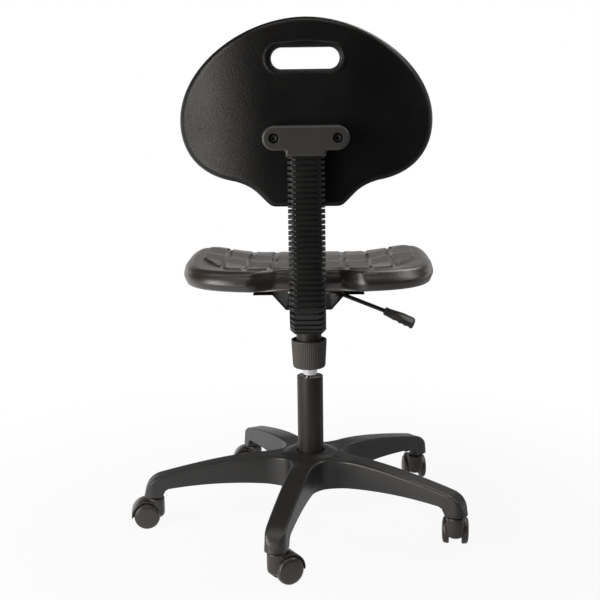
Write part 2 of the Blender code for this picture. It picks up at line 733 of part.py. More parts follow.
def build_coil(root, low, high):
    start, end = low + COIL_WIRE, high - COIL_WIRE
    per_turn = 8
    curve = bpy.data.curves.new("clamp_spring", "CURVE")
    curve.dimensions = "3D"
    curve.bevel_depth = COIL_WIRE
    curve.bevel_resolution = 1
    curve.use_fill_caps = True
    spline = curve.splines.new("POLY")
    count = COIL_TURNS * per_turn + 1
    spline.points.add(count - 1)
    points = []
    for i in range(count):
        a = 2.0 * math.pi * i / per_turn
        z = start + (end - start) * i / (count - 1)
        points.append((COIL_R * math.cos(a), COIL_R * math.sin(a), z))
        spline.points[i].co = (*points[i], 1.0)
    curve.materials.append(material("clamp_spring", *STEEL))
    obj = bpy.data.objects.new("clamp_spring", curve)
    bpy.context.scene.collection.objects.link(obj)
    obj.parent = root
    obj.location = (0.0, CLAMP_Y, 0.0)
    least = min(math.dist(p, q) for i, p in enumerate(points) for q in points[i + per_turn // 2:])
    print("clamp_spring least gap to itself, mm:", round(1000.0 * (least - 2.0 * COIL_WIRE), 2))


def bend_path(radius, low_angle, steps):
    """Points and outward directions (y, z) round the bar's bend, from level up to upright."""
    path = []
    for i in range(steps + 1):
        a = math.radians(low_angle + (90.0 - low_angle) * i / steps)
        out = (math.sin(a), -math.cos(a))
        path.append((BEND_Y + radius * out[0], BEND_Z + radius * out[1], out))
    return path


def build_bar(root):
    path = [(BAR_FRONT, ARM_Z, (0.0, -1.0))] + bend_path(BEND_R, 0.0, 8)
    path.append((UPRIGHT_Y, DECK + BAR_TOP, (1.0, 0.0)))
    rings = []
    for y, z, (ny, nz) in path:
        ring = []
        for sx, sn in ((-1, -1), (1, -1), (1, 1), (-1, 1)):
            n = sn * BAR_T / 2
            ring.append((sx * BAR_W / 2, y + n * ny, z + n * nz))
        rings.append(ring)
    bar = skin("j_bar", rings, STEEL, root)
    slot = CLAMP_R + TURN_GAP
    rings = []
    for z in (BAR_LOW - 0.01, BAR_UP + 0.003):
        ring = []
        for i in range(14):
            a = math.pi * (i % 7) / 6.0 + (math.pi if i > 6 else 0.0)
            y = CLAMP_Y - (DEPTH_TRAVEL if i > 6 else 0.0)
            ring.append((slot * math.cos(a), y + slot * math.sin(a), z))
        rings.append(ring)
    boolean(bar, skin("cut_bar_slot", rings, None, root))
    half = SLIDE_W / 2
    slide = block("slide_bar", (-half, SLIDE_FRONT, DECK + SLIDE_LOW),
                  (half, SLIDE_REAR, DECK + SLIDE_HIGH), STEEL, root)
    sleeve_top = DECK + BAR_TOP + 0.005
    wide = BAR_W / 2 + GAP
    front = SLIDE_FRONT - GAP
    rear = UPRIGHT_Y + BAR_T / 2 + GAP
    sleeve = block("ratchet_sleeve", (-wide - SLEEVE_WALL, front - SLEEVE_WALL, sleeve_top - SLEEVE_H),
                   (wide + SLEEVE_WALL, rear + SLEEVE_WALL, sleeve_top), ACETAL, root)
    boolean(sleeve, block("cut_sleeve", (-wide, front, sleeve_top - SLEEVE_H - 0.01),
                          (wide, rear, sleeve_top + 0.01), None, root))
    mid = sleeve_top - SLEEVE_H / 2
    spot = (0.0, 0.0, mid)
    rod("ratchet_pawl", PAWL_R, front - SLEEVE_WALL, SLIDE_REAR - 0.0004, 10, STEEL, root, spot, "Y")
    hole = rod("cut_sleeve_pawl", PAWL_R + GAP, front - 0.02, front + 0.001, 10, None, root, spot, "Y")
    boolean(sleeve, hole)
    low, high = mid - 0.0035, mid + HEIGHT_TRAVEL + 0.0035
    boolean(slide, block("cut_slide_rack", (-PAWL_R - 0.0006, SLIDE_FRONT - 0.01, low),
                         (PAWL_R + 0.0006, SLIDE_REAR + 0.001, high), None, root))


def octagon(half_w, half_d, chamfer):
    return [(half_w, -half_d + chamfer), (half_w, half_d - chamfer), (half_w - chamfer, half_d),
            (-half_w + chamfer, half_d), (-half_w, half_d - chamfer), (-half_w, -half_d + chamfer),
            (-half_w + chamfer, -half_d), (half_w - chamfer, -half_d)]


def build_bellows(root):
    offset = BELLOWS_Y - UPRIGHT_Y
    radius = BEND_R + offset
    straight = DECK + BELLOWS_TOP - BEND_Z
    bend = radius * math.radians(90.0 - BELLOWS_END)
    ribs = max(4, round((straight + bend) / RIB_PITCH))
    crest = octagon(BELLOWS_W / 2, BELLOWS_D / 2, BELLOWS_CHAMFER)
    root_cut = BELLOWS_CHAMFER * 0.8
    half_w, half_d = BELLOWS_W / 2 - RIB_SIDE, BELLOWS_D / 2 - RIB_FACE
    groove = octagon(half_w, half_d, root_cut)
    bore = octagon(half_w - BELLOWS_WALL, half_d - BELLOWS_WALL, root_cut * 0.8)

    def ring(along, section):
        if along < bend:
            a = math.radians(BELLOWS_END) + along / radius
            out = (math.sin(a), -math.cos(a))
            y, z = BEND_Y + radius * out[0], BEND_Z + radius * out[1]
        else:
            out = (1.0, 0.0)
            y, z = BEND_Y + radius, BEND_Z + along - bend
        return [(x, y + n * out[0], z + n * out[1]) for x, n in section]

    total = straight + bend
    pitch = total / ribs
    rings = []
    for i in range(ribs):
        rings.append(ring((i + 0.02) * pitch if i else 0.0, crest))
        rings.append(ring((i + 0.52) * pitch, groove))
    rings.append(ring(total, crest))
    rings.append(ring(total, bore))
    for i in range(6):
        rings.append(ring(bend * (6 - i) / 6, bore))
    rings.append(ring(0.0, bore))
    skin("bellows", rings, RUBBER, root, closed=True)


# Back
def bracket_outline():
    mid = DECK + BRACKET_MID
    arm = BRACKET_HALF - BRACKET_R
    half = []
    for i in range(9):
        a = math.radians(90.0 - 180.0 * i / 8)
        half.append((arm + BRACKET_R * math.cos(a), mid + BRACKET_R * math.sin(a)))
    foot = DECK + BELLOWS_TOP + GAP
    turn = 0.293 * BRACKET_FILLET
    half.append((BRACKET_STEM + BRACKET_FILLET, mid - BRACKET_R))
    half.append((BRACKET_STEM + turn, mid - BRACKET_R - turn))
    half.append((BRACKET_STEM, mid - BRACKET_R - BRACKET_FILLET))
    half.append((BRACKET_STEM, foot))
    left = [(-x, z) for x, z in half]
    return list(reversed(half)) + left


def build_bracket(root):
    outline = bracket_outline()
    rings = []
    turn = 0.293 * BRACKET_ROUND
    for back, amount in ((BRACKET_T, 0.0), (BRACKET_ROUND, 0.0), (turn, turn), (0.0, BRACKET_ROUND)):
        rings.append([(x, BRACKET_REAR - back, z) for x, z in inset(outline, amount)])
    bracket = skin("back_bracket", rings, NYLON, root)
    half = SLIDE_W / 2 + GAP
    boolean(bracket, block("cut_bracket_bar", (-half, SLIDE_FRONT - GAP, DECK + BELLOWS_TOP - 0.02),
                           (half, SLIDE_REAR + GAP, DECK + SLIDE_HIGH + GAP), None, root))
    plate_rear = BACK_FACE - GAP
    size = PLATE
    mid = DECK + BRACKET_MID
    plate = block("backrest_plate", (-size[0] / 2, plate_rear - size[1], mid - size[2] / 2),
                  (size[0] / 2, plate_rear, mid + size[2] / 2), STEEL, root)
    seat_y = BRACKET_REAR - SCREW_SINK
    for count, x in enumerate((-SCREW_X, SCREW_X), 1):
        spot = (x, 0.0, mid)
        tip = plate_rear - size[1]
        head = seat_y + GAP + SCREW_HEAD_T
        profile = ((0.0, tip), (SCREW_R, tip), (SCREW_R, seat_y + GAP), (SCREW_HEAD_R, seat_y + GAP),
                   (SCREW_HEAD_R, head - 0.0005), (SCREW_HEAD_R - 0.0005, head), (0.0, head))
        lathe(f"bracket_bolt_{count}", profile, 14, BLACK_STEEL, root, spot, axis="Y")
        well = rod(f"cut_head_{count}", SCREW_WELL_R, seat_y, BRACKET_REAR + 0.01, 18, None, root, spot, "Y")
        boolean(bracket, well)
        hole = rod(f"cut_screw_{count}", SCREW_R + GAP, tip - 0.01, seat_y + 0.01, 14, None, root, spot, "Y")
        boolean(bracket, hole)
        boolean(plate, hole)


def back_outline():
    """Right half of the back's outline from the top down, about its widest line, then the left half."""
    w, up, down = BACK_HALF, BACK_UP, BACK_DOWN
    neck = NECK_HALF
    lobe = (w * 0.566, -down * 0.698)
    knee = (neck + 0.007, -down * 0.955)
    foot = (neck - 0.008, -down)
    half = bezier((0.0, up), (w * 0.474, up), (w, up * 0.530), (w, 0.0), 10)
    half += bezier((w, 0.0), (w, -down * 0.376), (w * 0.84, -down * 0.637), lobe, 6)
    half += bezier(lobe, (w * 0.407, -down * 0.757), (neck + 0.022, -down * 0.86), knee, 5)
    half += bezier(knee, (neck + 0.003, -down * 0.985), (neck - 0.002, -down), foot, 3)
    half.append(foot)
    return half + [(-x, z) for x, z in reversed(half[1:])]


def slot_edge(angle):
    """Where a ray from the slot's middle meets its rounded outline."""
    c, s = math.cos(angle), math.sin(angle)
    if abs(s) > 1e-9 and abs(c) * SLOT_R / abs(s) <= SLOT_HALF:
        return (c * SLOT_R / abs(s), math.copysign(SLOT_R, s))
    b = abs(c) * SLOT_HALF
    reach = b + math.sqrt(max(0.0, b * b - SLOT_HALF ** 2 + SLOT_R ** 2))
    return (c * reach, s * reach)


def wing(x):
    return -BACK_WING * (max(0.0, abs(x) - WING_FROM) / (BACK_HALF - WING_FROM)) ** 2


def build_backrest(root):
    mid = DECK + BACK_MID
    t = BACK_T
    loops = []
    for ox, oz in back_outline():
        angle = math.atan2(oz - SLOT_UP, ox)
        ix, iz = slot_edge(angle)
        iz += SLOT_UP
        length = math.hypot(ox - ix, oz - iz)
        dx, dz = (ox - ix) / length, (oz - iz) / length
        inner = min(1.0, length / 0.030)
        marks = [(0.0, -t * 0.5), (0.0, -0.006), (0.002 * inner, -0.0018), (0.007 * inner, 0.0),
                 (length * 0.5, 0.0), (length - 0.010 * inner, 0.0), (length - 0.0030 * inner, -0.0026),
                 (length, -0.009), (length, -t * 0.58), (length - 0.004 * inner, -t * 0.84),
                 (length - 0.013 * inner, -t * 0.97), (length * 0.55, -t * 1.06), (0.011 * inner, -t),
                 (0.003 * inner, -t * 0.9)]
        loop = []
        for u, n in marks:
            x, z = ix + dx * u, iz + dz * u
            loop.append((x, BACK_FACE + n + wing(x), mid + z))
        loops.append(loop)
    back = skin("backrest", loops, FOAM, root, closed=True)
    plate_mid = DECK + BRACKET_MID
    half = (PLATE[0] / 2 + GAP, PLATE[2] / 2 + GAP)
    boolean(back, block("cut_back_plate", (-half[0], BACK_FACE - PLATE[1] - 0.002, plate_mid - half[1]),
                        (half[0], BACK_FACE + 0.01, plate_mid + half[1]), None, root))


# Seat
def rounded(angle, half_x, half_y, power):
    """A point of a rounded rectangle, a superellipse, at an angle round it."""
    c, s = math.cos(angle), math.sin(angle)
    x = math.copysign(abs(c) ** (2.0 / power), c)
    y = math.copysign(abs(s) ** (2.0 / power), s)
    return (half_x * x, half_y * y)


def seat_outline(count):
    """Points of the seat's outline, each with the point of the flat underside that faces it."""
    pairs = []
    for i in range(count):
        a = 2.0 * math.pi * (i + 0.5) / count
        x, y = rounded(a, SEAT_HALF, SEAT_DEEP, SEAT_POWER)
        middle = 1.0 - smooth_step(abs(x), NOTCH_HALF - NOTCH_EASE, NOTCH_HALF + NOTCH_EASE)
        y -= NOTCH * middle * smooth_step(y, 0.56 * SEAT_DEEP, 0.93 * SEAT_DEEP)
        fx, fy = rounded(a, BOARD[0] / 2 + FLAT_SIDE, BOARD[1] / 2 + FLAT_END, FLAT_POWER)
        pairs.append(((x, y), (fx, BOARD_Y + fy)))
    return pairs


def seat_top(x, y):
    side = smooth_step(abs(x), 0.36 * SEAT_HALF, 0.92 * SEAT_HALF)
    rear = smooth_step(y, 0.28 * SEAT_DEEP, 0.90 * SEAT_DEEP)
    front = smooth_step(-y, 0.45 * SEAT_DEEP, 1.05 * SEAT_DEEP)
    rise = SEAT_RISE * (1.0 - (1.0 - side * (1.0 - 0.55 * front)) * (1.0 - rear))
    return SEAT_TOP + rise - FRONT_DROP * front


def seat_under(y):
    """Height of the underside's outer edge over the deck, for a point of the outline."""
    front = smooth_step(-y, 0.45 * SEAT_DEEP, 0.95 * SEAT_DEEP)
    rear = smooth_step(y, 0.20 * SEAT_DEEP, 0.80 * SEAT_DEEP)
    return UNDER_SIDE + (UNDER_REAR - UNDER_SIDE) * rear + (UNDER_FRONT - UNDER_SIDE) * front


def build_seat(root):
    pairs = seat_outline(52)
    rings = [[(0.0, 0.0, seat_top(0.0, 0.0))]]
    for share, turn in ((0.30, 0.0), (0.58, 0.0), (0.78, 0.0), (0.90, 0.0),
                        (0.955, 0.10), (0.987, 0.41), (1.0, 1.0)):
        ring = []
        for (x, y), _ in pairs:
            px, py = x * share, y * share
            ring.append((px, py, seat_top(px, py) - TOP_ROLL * turn))
        rings.append(ring)
    for share, turn in ((1.0, 1.0), (0.985, 0.38), (UNDER_EDGE, 0.0)):
        rings.append([(x * share, y * share, DECK + seat_under(y) + LOW_ROLL * turn) for (x, y), _ in pairs])
    for share in (0.62, 0.28, 0.0):
        ring = []
        for (x, y), (fx, fy) in pairs:
            px = fx + (x * UNDER_EDGE - fx) * share
            py = fy + (y * UNDER_EDGE - fy) * share
            ring.append((px, py, DECK + seat_under(y) * share ** 0.9))
        rings.append(ring)
    rings.append([(0.0, BOARD_Y, DECK)])
    seat = skin("seat", rings, FOAM, root)
    half = (BOARD[0] / 2 + GAP, BOARD[1] / 2 + GAP)
    boolean(seat, block("cut_seat_board", (-half[0], BOARD_Y - half[1], DECK - 0.02),
                        (half[0], BOARD_Y + half[1], BOARD_LOW + BOARD[2] + GAP), None, root))


def centre(root):
    """Moves the chair so that the origin lies on the floor under the middle of its outer limits."""
    bpy.context.view_layer.update()
    depsgraph = bpy.context.evaluated_depsgraph_get()
    spots = []
    for obj in root.children_recursive:
        if obj.type == "MESH" and not obj.hide_render:
            built = obj.evaluated_get(depsgraph)
            spots.extend(obj.matrix_world @ v.co for v in built.data.vertices)
    for axis in (0, 1):
        limits = [spot[axis] for spot in spots]
        root.location[axis] -= (min(limits) + max(limits)) / 2.0


def main():
    clear_scene()
    root = empty("task_chair", (0.0, 0.0, 0.0))
    build_base(root)
    for k in range(5):
        build_caster(k, root)
    build_lift(root)
    build_tray(root)
    build_lever(root)
    build_clamp(root)
    build_bar(root)
    build_bellows(root)
    build_bracket(root)
    build_backrest(root)
    build_seat(root)
    centre(root)


main()
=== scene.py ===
"""Task chair: visible surfaces, finishes, stage and camera built around the packed frame."""
import math

import bmesh
import bpy
import numpy as np
from mathutils import Matrix, Vector


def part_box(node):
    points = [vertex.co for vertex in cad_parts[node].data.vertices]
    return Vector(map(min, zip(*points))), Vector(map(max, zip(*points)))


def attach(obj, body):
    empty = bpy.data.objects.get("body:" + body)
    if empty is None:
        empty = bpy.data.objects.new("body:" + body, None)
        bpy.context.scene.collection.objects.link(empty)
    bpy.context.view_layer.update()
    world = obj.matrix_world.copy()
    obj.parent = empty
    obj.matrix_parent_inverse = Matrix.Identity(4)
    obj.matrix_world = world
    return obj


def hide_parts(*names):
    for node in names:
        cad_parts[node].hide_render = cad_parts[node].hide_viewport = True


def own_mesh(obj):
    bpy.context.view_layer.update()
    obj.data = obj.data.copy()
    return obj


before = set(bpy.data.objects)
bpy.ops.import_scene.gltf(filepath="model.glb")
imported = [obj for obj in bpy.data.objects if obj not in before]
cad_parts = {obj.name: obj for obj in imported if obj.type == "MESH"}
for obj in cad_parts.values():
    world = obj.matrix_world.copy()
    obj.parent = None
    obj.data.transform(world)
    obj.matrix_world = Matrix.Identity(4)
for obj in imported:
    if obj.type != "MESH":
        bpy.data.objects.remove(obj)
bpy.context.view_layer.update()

bl_info = {
    "name": "Task chair surfaces",
    "version": (1, 1, 0),
    "blender": (4, 5, 0),
    "location": "3D View > Sidebar > Task chair",
    "description": "Builds the visible surfaces and finishes of a task chair around its frame",
    "category": "Object",
}

# Places taken from the frame: the lift's axis, the seat's underside and the back's rear face
COLUMN_LOW, COLUMN_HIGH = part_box("gas_column")
AXIS = np.array([(COLUMN_LOW[0] + COLUMN_HIGH[0]) / 2, (COLUMN_LOW[1] + COLUMN_HIGH[1]) / 2, 0.0])
DECK = float(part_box("seat")[0][2])
GAP = 0.0003
BACK_FACE = float(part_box("back_bracket")[0][1] - AXIS[1]) - GAP
BRACKET_REAR = float(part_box("back_bracket")[1][1] - AXIS[1])
TURN = 2.0 * math.pi
QUARTER = math.pi / 2.0
TINY = 1e-9  # keeps a division off zero
WELD = 1e-6  # points nearer than this become one
MOST_TRIM = 0.49  # share of a leg that a rounded corner may take
POLE = 0.0010  # radius at which a turned profile is closed by a cap


# Properties
def length(label, note, default):
    return bpy.props.FloatProperty(
        name=label, description=note, default=default, precision=4, unit="LENGTH", subtype="DISTANCE")


def angle(label, note, degrees):
    return bpy.props.FloatProperty(
        name=label, description=note, default=math.radians(degrees), unit="ROTATION", subtype="ANGLE")


def number(label, note, default):
    return bpy.props.IntProperty(name=label, description=note, default=default, min=1)


def share(label, note, default):
    return bpy.props.FloatProperty(
        name=label, description=note, default=default, precision=4, soft_min=0.0, soft_max=1.0,
        subtype="FACTOR")


def amount(label, note, default, unit="NONE"):
    return bpy.props.FloatProperty(name=label, description=note, default=default, precision=4, unit=unit)


def colour(label, note, default):
    return bpy.props.FloatVectorProperty(
        name=label, description=note, default=default, size=3, min=0.0, max=1.0, subtype="COLOR")


class ChairBack(bpy.types.PropertyGroup):
    """Sizes of the backrest"""
    half: length("Half width", "From the middle to the widest point", 0.2165)
    up: length("Upper rise", "From the widest line to the top", 0.171)
    down: length("Lower drop", "From the widest line to the foot", 0.1423)
    mid: length("Widest line", "Height of the widest line above the seat's underside", 0.3175)
    thick: length("Thickness", "From the rear face to the front face", 0.032)
    wing: length("Wing", "How far the sides curve forwards", 0.045)
    wing_from: length("Wing start", "Half width of the flat middle", 0.062)
    neck: length("Neck half width", "Half width of the foot", 0.059)
    slot_up: length("Hand slot height", "Slot's middle above the widest line", 0.104)
    slot_half: length("Hand slot half length", "Between the slot's end centres, halved", 0.0394)
    slot_r: length("Hand slot radius", "Half the slot's height", 0.0177)
    rim_rear: length("Rear rim", "Rounding of the rear edge", 0.0095)
    rim_front: length("Front rim", "Rounding of the front edge", 0.0130)
    lip_rear: length("Slot rear lip", "Rounding of the slot's rear edge", 0.0050)
    lip_front: length("Slot front lip", "Rounding of the slot's front edge", 0.0080)
    bead: length("Slot bead", "Height of the bead round the slot", 0.0012)
    bead_out: length("Slot bead place", "From the slot's edge to the bead's crest", 0.0085)
    bead_wide: length("Slot bead width", "Half width of the bead", 0.0032)
    crown: length("Crown", "How far the front face bulges", 0.0022)
    vent_x: length("Vent aside", "Vent hole beside the middle", 0.1873)
    vent_z: length("Vent height", "Vent hole above the widest line", -0.0258)


class ChairSeat(bpy.types.PropertyGroup):
    """Sizes of the seat"""
    half: length("Half width", "From the middle to the side's upper edge", 0.2285)
    deep: length("Half depth", "From the middle to the front's or rear's upper edge", 0.2105)
    swell: share("Swell", "How far the face of the sides swells out, as a share", 0.006)
    splay: share("Splay", "How far the front and rear lean out downwards, as a share", 0.030)
    thick: length("Thickness", "Middle of the top above the underside", 0.0445)
    rise: length("Rise", "How far the sides and rear curl up", 0.0190)
    front_drop: length("Front drop", "How far the front edge falls", 0.006)
    under_side: length("Underside rise", "Underside's outer edge at the sides", 0.022)
    under_rear: length("Underside rear rise", "Underside's outer edge at the rear", 0.028)
    under_front: length("Underside front rise", "Underside's outer edge in front", 0.008)
    power: amount("Squareness", "Power of the outline's superellipse", 3.4)
    under_edge: share("Underside edge", "Where the lower edge starts to roll, as a share", 0.94)
    flat_x: length("Flat half width", "Half width of the flat round the board", 0.162)
    flat_y: length("Flat half depth", "Half depth of the flat round the board", 0.083)
    roll_high: length("Upper roll", "Rounding of the upper edge", 0.0145)
    roll_rear: length("Rear roll", "Rounding of the upper edge at the rear", 0.0070)
    roll_start: share("Roll start", "Where the upper edge starts to roll, as a share", 0.915)
    roll_tight: share("Rear roll start", "Where it starts at the rear, as a share", 0.948)
    roll_low: length("Lower roll", "Rounding of the lower edge", 0.0130)
    notch: length("Notch", "Depth of the hollow behind the back bar", 0.030)
    notch_half: length("Notch half width", "Half width of that hollow", 0.078)
    notch_ease: length("Notch shoulder", "Half the run of the hollow's shoulders", 0.026)
    panel_pitch: length("Panel pitch", "Across from one column of panels to the next", 0.0445)
    panel_row: length("Panel row", "From one wide place of a column to the next", 0.158)
    panel_place: length("Panel place", "Where the middle column has a narrow place", 0.050)
    panel_wide: length("Panel wide", "Half width of a column at its wide places", 0.0198)
    panel_narrow: length("Panel narrow", "Half width of a column at its narrow places", 0.0148)
    panel_up: length("Panel height", "Height of the panels over the channels", 0.0026)
    panel_wall: length("Panel wall", "Run of the slope at a panel's edge", 0.0016)
    panel_side: share("Panels across", "Share of the seat's width that panels reach", 0.88)
    panel_ends: share("Panels along", "Share of the seat's depth that panels reach", 0.80)
    panel_cut: length("Panel corner", "Where the field's rear corners are cut off", 0.2085)
    panel_slant: share("Panel slant", "Slant of that cut", 0.42)
    tile_lean: length("Tile lean", "Height that each half panel gains towards its front", 0.0011)
    tile_crest: share("Tile crest", "Where along a half panel it starts to fall again", 0.80)


class ChairBellows(bpy.types.PropertyGroup):
    """Sizes of the ribbed sleeve on the back bar"""
    wide: length("Width", "Across the ribs, side to side", 0.0625)
    deep: length("Depth", "Across the ribs, front to rear", 0.034)
    chamfer: length("Chamfer", "Cut on the sleeve's corners", 0.008)
    rib_side: length("Side groove", "From a rib's crest to the groove at the sides", 0.0062)
    rib_face: length("Face groove", "From a rib's crest to the groove on the flat faces", 0.0024)
    wall: length("Wall", "Thickness of the sleeve's wall", 0.0015)
    edge: length("Edge", "Rounding of the section's corners", 0.0014)
    ribs: number("Ribs", "Ribs on the straight stretch", 27)
    bend_ribs: number("Bend ribs", "Ribs round the bend", 6)
    top: length("Top", "Top end above the seat's underside", 0.2612)
    bend_y: length("Bend centre", "Bend's centre behind the lift's axis", 0.170)
    bend_r: length("Bend radius", "Radius of the sleeve's middle line", 0.053)
    arm_drop: length("Arm drop", "Level bar's middle below the seat's underside", 0.0396)
    bar_bend: length("Bar bend", "Bend radius of the bar inside", 0.055)
    end: angle("End angle", "Where the sleeve stops, from the level arm", 30.0)
    travel: length("Travel", "How far the sleeve folds up", 0.060)


class ChairBracket(bpy.types.PropertyGroup):
    """Sizes of the tee bracket behind the back"""
    half: length("Half width", "From the middle to an arm's end", 0.0725)
    round_r: length("Arm radius", "Half the height of an arm", 0.0205)
    stem: length("Stem half width", "Half width of the stem", 0.0335)
    mid: length("Arm height", "Arms' middle above the seat's underside", 0.292)
    thick: length("Thickness", "From the front to the rear face", 0.036)
    edge: length("Edge", "Rounding of the rear edges", 0.0046)
    fillet: length("Fillet", "Between the arms and the stem", 0.006)
    screw_x: length("Screw place", "From the middle to a screw", 0.053)
    sink: length("Screw sink", "Depth of the well for a screw's head", 0.012)
    well_r: length("Well radius", "Radius of that well", 0.0083)
    head_r: length("Head radius", "Radius of a screw's head", 0.0065)
    head_t: length("Head height", "Height of a screw's head", 0.0077)
    key: length("Key size", "Half the size across the hexagon's flats", 0.0029)


class ChairBase(bpy.types.PropertyGroup):
    """Sizes of the five-leg base"""
    reach: length("Reach", "From the lift's axis to a caster's stem", 0.304)
    turn: angle("Turn", "Turn of the first leg from the rear", -11.0)
    half: length("Leg half width", "Half width at the caster", 0.0185)
    spread: length("Leg spread", "How much wider a leg is at the hub", 0.0025)
    flare: length("Leg flare", "Further width where a leg meets the hub", 0.010)
    flare_run: length("Flare run", "Length of that widening", 0.040)
    nose: length("Nose", "How far the leg runs past the stem", 0.0205)
    nose_drop: length("Nose drop", "How far the top falls round the nose", 0.029)
    nose_from: length("Nose start", "Where the nose starts, before the stem", 0.010)
    top: length("Leg top", "Height of a leg at the hub", 0.135)
    fall: length("Leg fall", "How far a leg's top falls to its end", 0.034)
    fall_from: length("Fall start", "Where a leg's top starts to fall", 0.100)
    under: length("Underside", "Height of a leg's underside at the hub", 0.078)
    arch: length("Arch", "Rise of the underside between hub and end", 0.008)
    end: length("End height", "Underside of a leg's end", 0.0621)
    sole: length("Sole", "Length of the end's flat before the stem", 0.016)
    edge: length("Edge", "Rounding of a leg's top edges", 0.0046)
    draft: length("Draft", "How far a leg's sides lean out at the foot", 0.0015)
    wall: length("Wall", "Thickness of the moulding", 0.0040)
    hub_top: length("Hub top", "Height of the hub's rim", 0.140)
    web: length("Web", "Where the legs part, from the axis", 0.058)
    bore: length("Bore", "Radius of the hub's bore", 0.0253)
    boss_r: length("Boss radius", "Radius of the boss round a caster's stem", 0.0130)
    stem_r: length("Stem hole", "Radius of the hole for a caster's stem", 0.0060)
    stem_len: length("Stem hole depth", "Depth of the hole for a caster's stem", 0.025)


class ChairCaster(bpy.types.PropertyGroup):
    """Sizes of the twin-wheel casters"""
    wheel_r: length("Wheel radius", "Radius of a wheel", 0.025)
    wheel_in: length("Wheel inner face", "From the middle to a wheel", 0.0115)
    wheel_w: length("Wheel width", "Width of one wheel", 0.0135)
    trail: length("Trail", "From the stem to the axle", 0.018)
    neck_r: length("Neck radius", "Radius of the hood's neck", 0.0165)
    top: length("Hood top", "Height of the hood's neck", 0.0585)
    foot: length("Hood foot", "Lower end of the hood's neck", 0.018)
    fender: length("Fender", "Thickness of the hood over the wheels", 0.003)
    fender_half: length("Fender half width", "Half width of the hood over the wheels", 0.0185)
    fender_from: angle("Fender start", "Lower end of the fender round the axle", -8.0)
    fender_to: angle("Fender end", "Other end of the fender round the axle", 125.0)
    clear: length("Clearance", "Between a wheel and the hood", 0.0018)
    boss_r: length("Boss radius", "Radius of the boss round the axle", 0.009)
    axle_r: length("Axle hole", "Radius of the hole for the axle", 0.0043)


class ChairLift(bpy.types.PropertyGroup):
    """Sizes of the gas lift"""
    column_r: length("Column radius", "Outer radius of the lower tube", 0.025)
    column_low: length("Column foot", "Lower end of the column", 0.070)
    column_top: length("Column top", "Upper end of the column", 0.289)
    wall: length("Wall", "Thickness of both tubes' walls", 0.002)
    tube_r: length("Tube radius", "Radius of the bright tube", 0.014)
    tube_low: length("Tube foot", "Lower end of the bright tube", 0.200)
    tube_top: length("Tube top", "Upper end of the bright tube", 0.446)
    bush_len: length("Bush length", "Length of the guide bush", 0.074)
    notches: number("Bush notches", "Notches round the bush's rim", 9)
    notch: length("Notch depth", "Depth of those notches", 0.0034)


class ChairClamp(bpy.types.PropertyGroup):
    """Sizes of the depth clamp"""
    place: length("Place", "Clamp's axis behind the lift's axis", 0.100)
    low: length("Knob foot", "Knob's underside below the seat's underside", 0.1305)
    tall: length("Knob height", "Height of the knob", 0.053)
    rim: length("Knob rim radius", "Radius at the knob's rim", 0.0325)
    foot: length("Knob foot radius", "Radius at the knob's foot", 0.0300)
    wall: length("Knob wall", "Thickness of the knob's wall", 0.0026)
    floor: length("Knob floor", "Thickness of the knob's floor", 0.010)
    bolt_r: length("Bolt radius", "Radius of the hole for the bolt", 0.0053)
    flutes: number("Flutes", "Flutes round the knob", 56)
    flute: length("Flute depth", "Depth of a flute", 0.0010)
    plain: length("Plain rim", "Height of the rim above the flutes", 0.0040)
    cup_r: length("Cup radius", "Radius of the spring cup", 0.023)
    cup_wall: length("Cup wall", "Thickness of the spring cup", 0.0025)
    cup_lid: length("Cup lid", "Thickness of the cup's lid", 0.004)
    neck_r: length("Cup neck radius", "Radius of the cup's neck", 0.016)
    neck: length("Cup neck", "Height of the cup's neck", 0.0056)


class ChairLever(bpy.types.PropertyGroup):
    """Sizes of the height lever"""
    rod_r: length("Rod radius", "Radius of the lever's rod", 0.004)
    pivot_x: length("Pivot aside", "Pivot beside the lift's axis", -0.0579)
    pivot_z: length("Pivot drop", "Pivot below the seat's underside", 0.0117)
    mouth_x: length("Handle aside", "Handle's mouth beside the lift's axis", -0.1437)
    mouth_z: length("Handle drop", "Handle's mouth below the seat's underside", 0.0466)
    head: length("Head rise", "Rod's inner end above the tube's top", 0.0094)
    kink: length("Kink", "From the pivot to the rod's bend", 0.012)
    tilt: angle("Handle tilt", "Handle's slope below level", 25.0)
    inside: length("Inside", "Length of the rod in the handle", 0.018)
    handle: length("Handle length", "Length of the handle", 0.062)
    wide: length("Handle half width", "Half width of the handle", 0.0125)
    high: length("Handle half height", "Half height of the handle", 0.0099)
    roof: share("Roof", "How far the top slopes to the rear at the handle's end, as a share", 0.80)
    ridge: length("Ridge", "Height of the finger ridges", 0.0017)
    ridges: number("Ridges", "Finger ridges near the handle's end", 3)


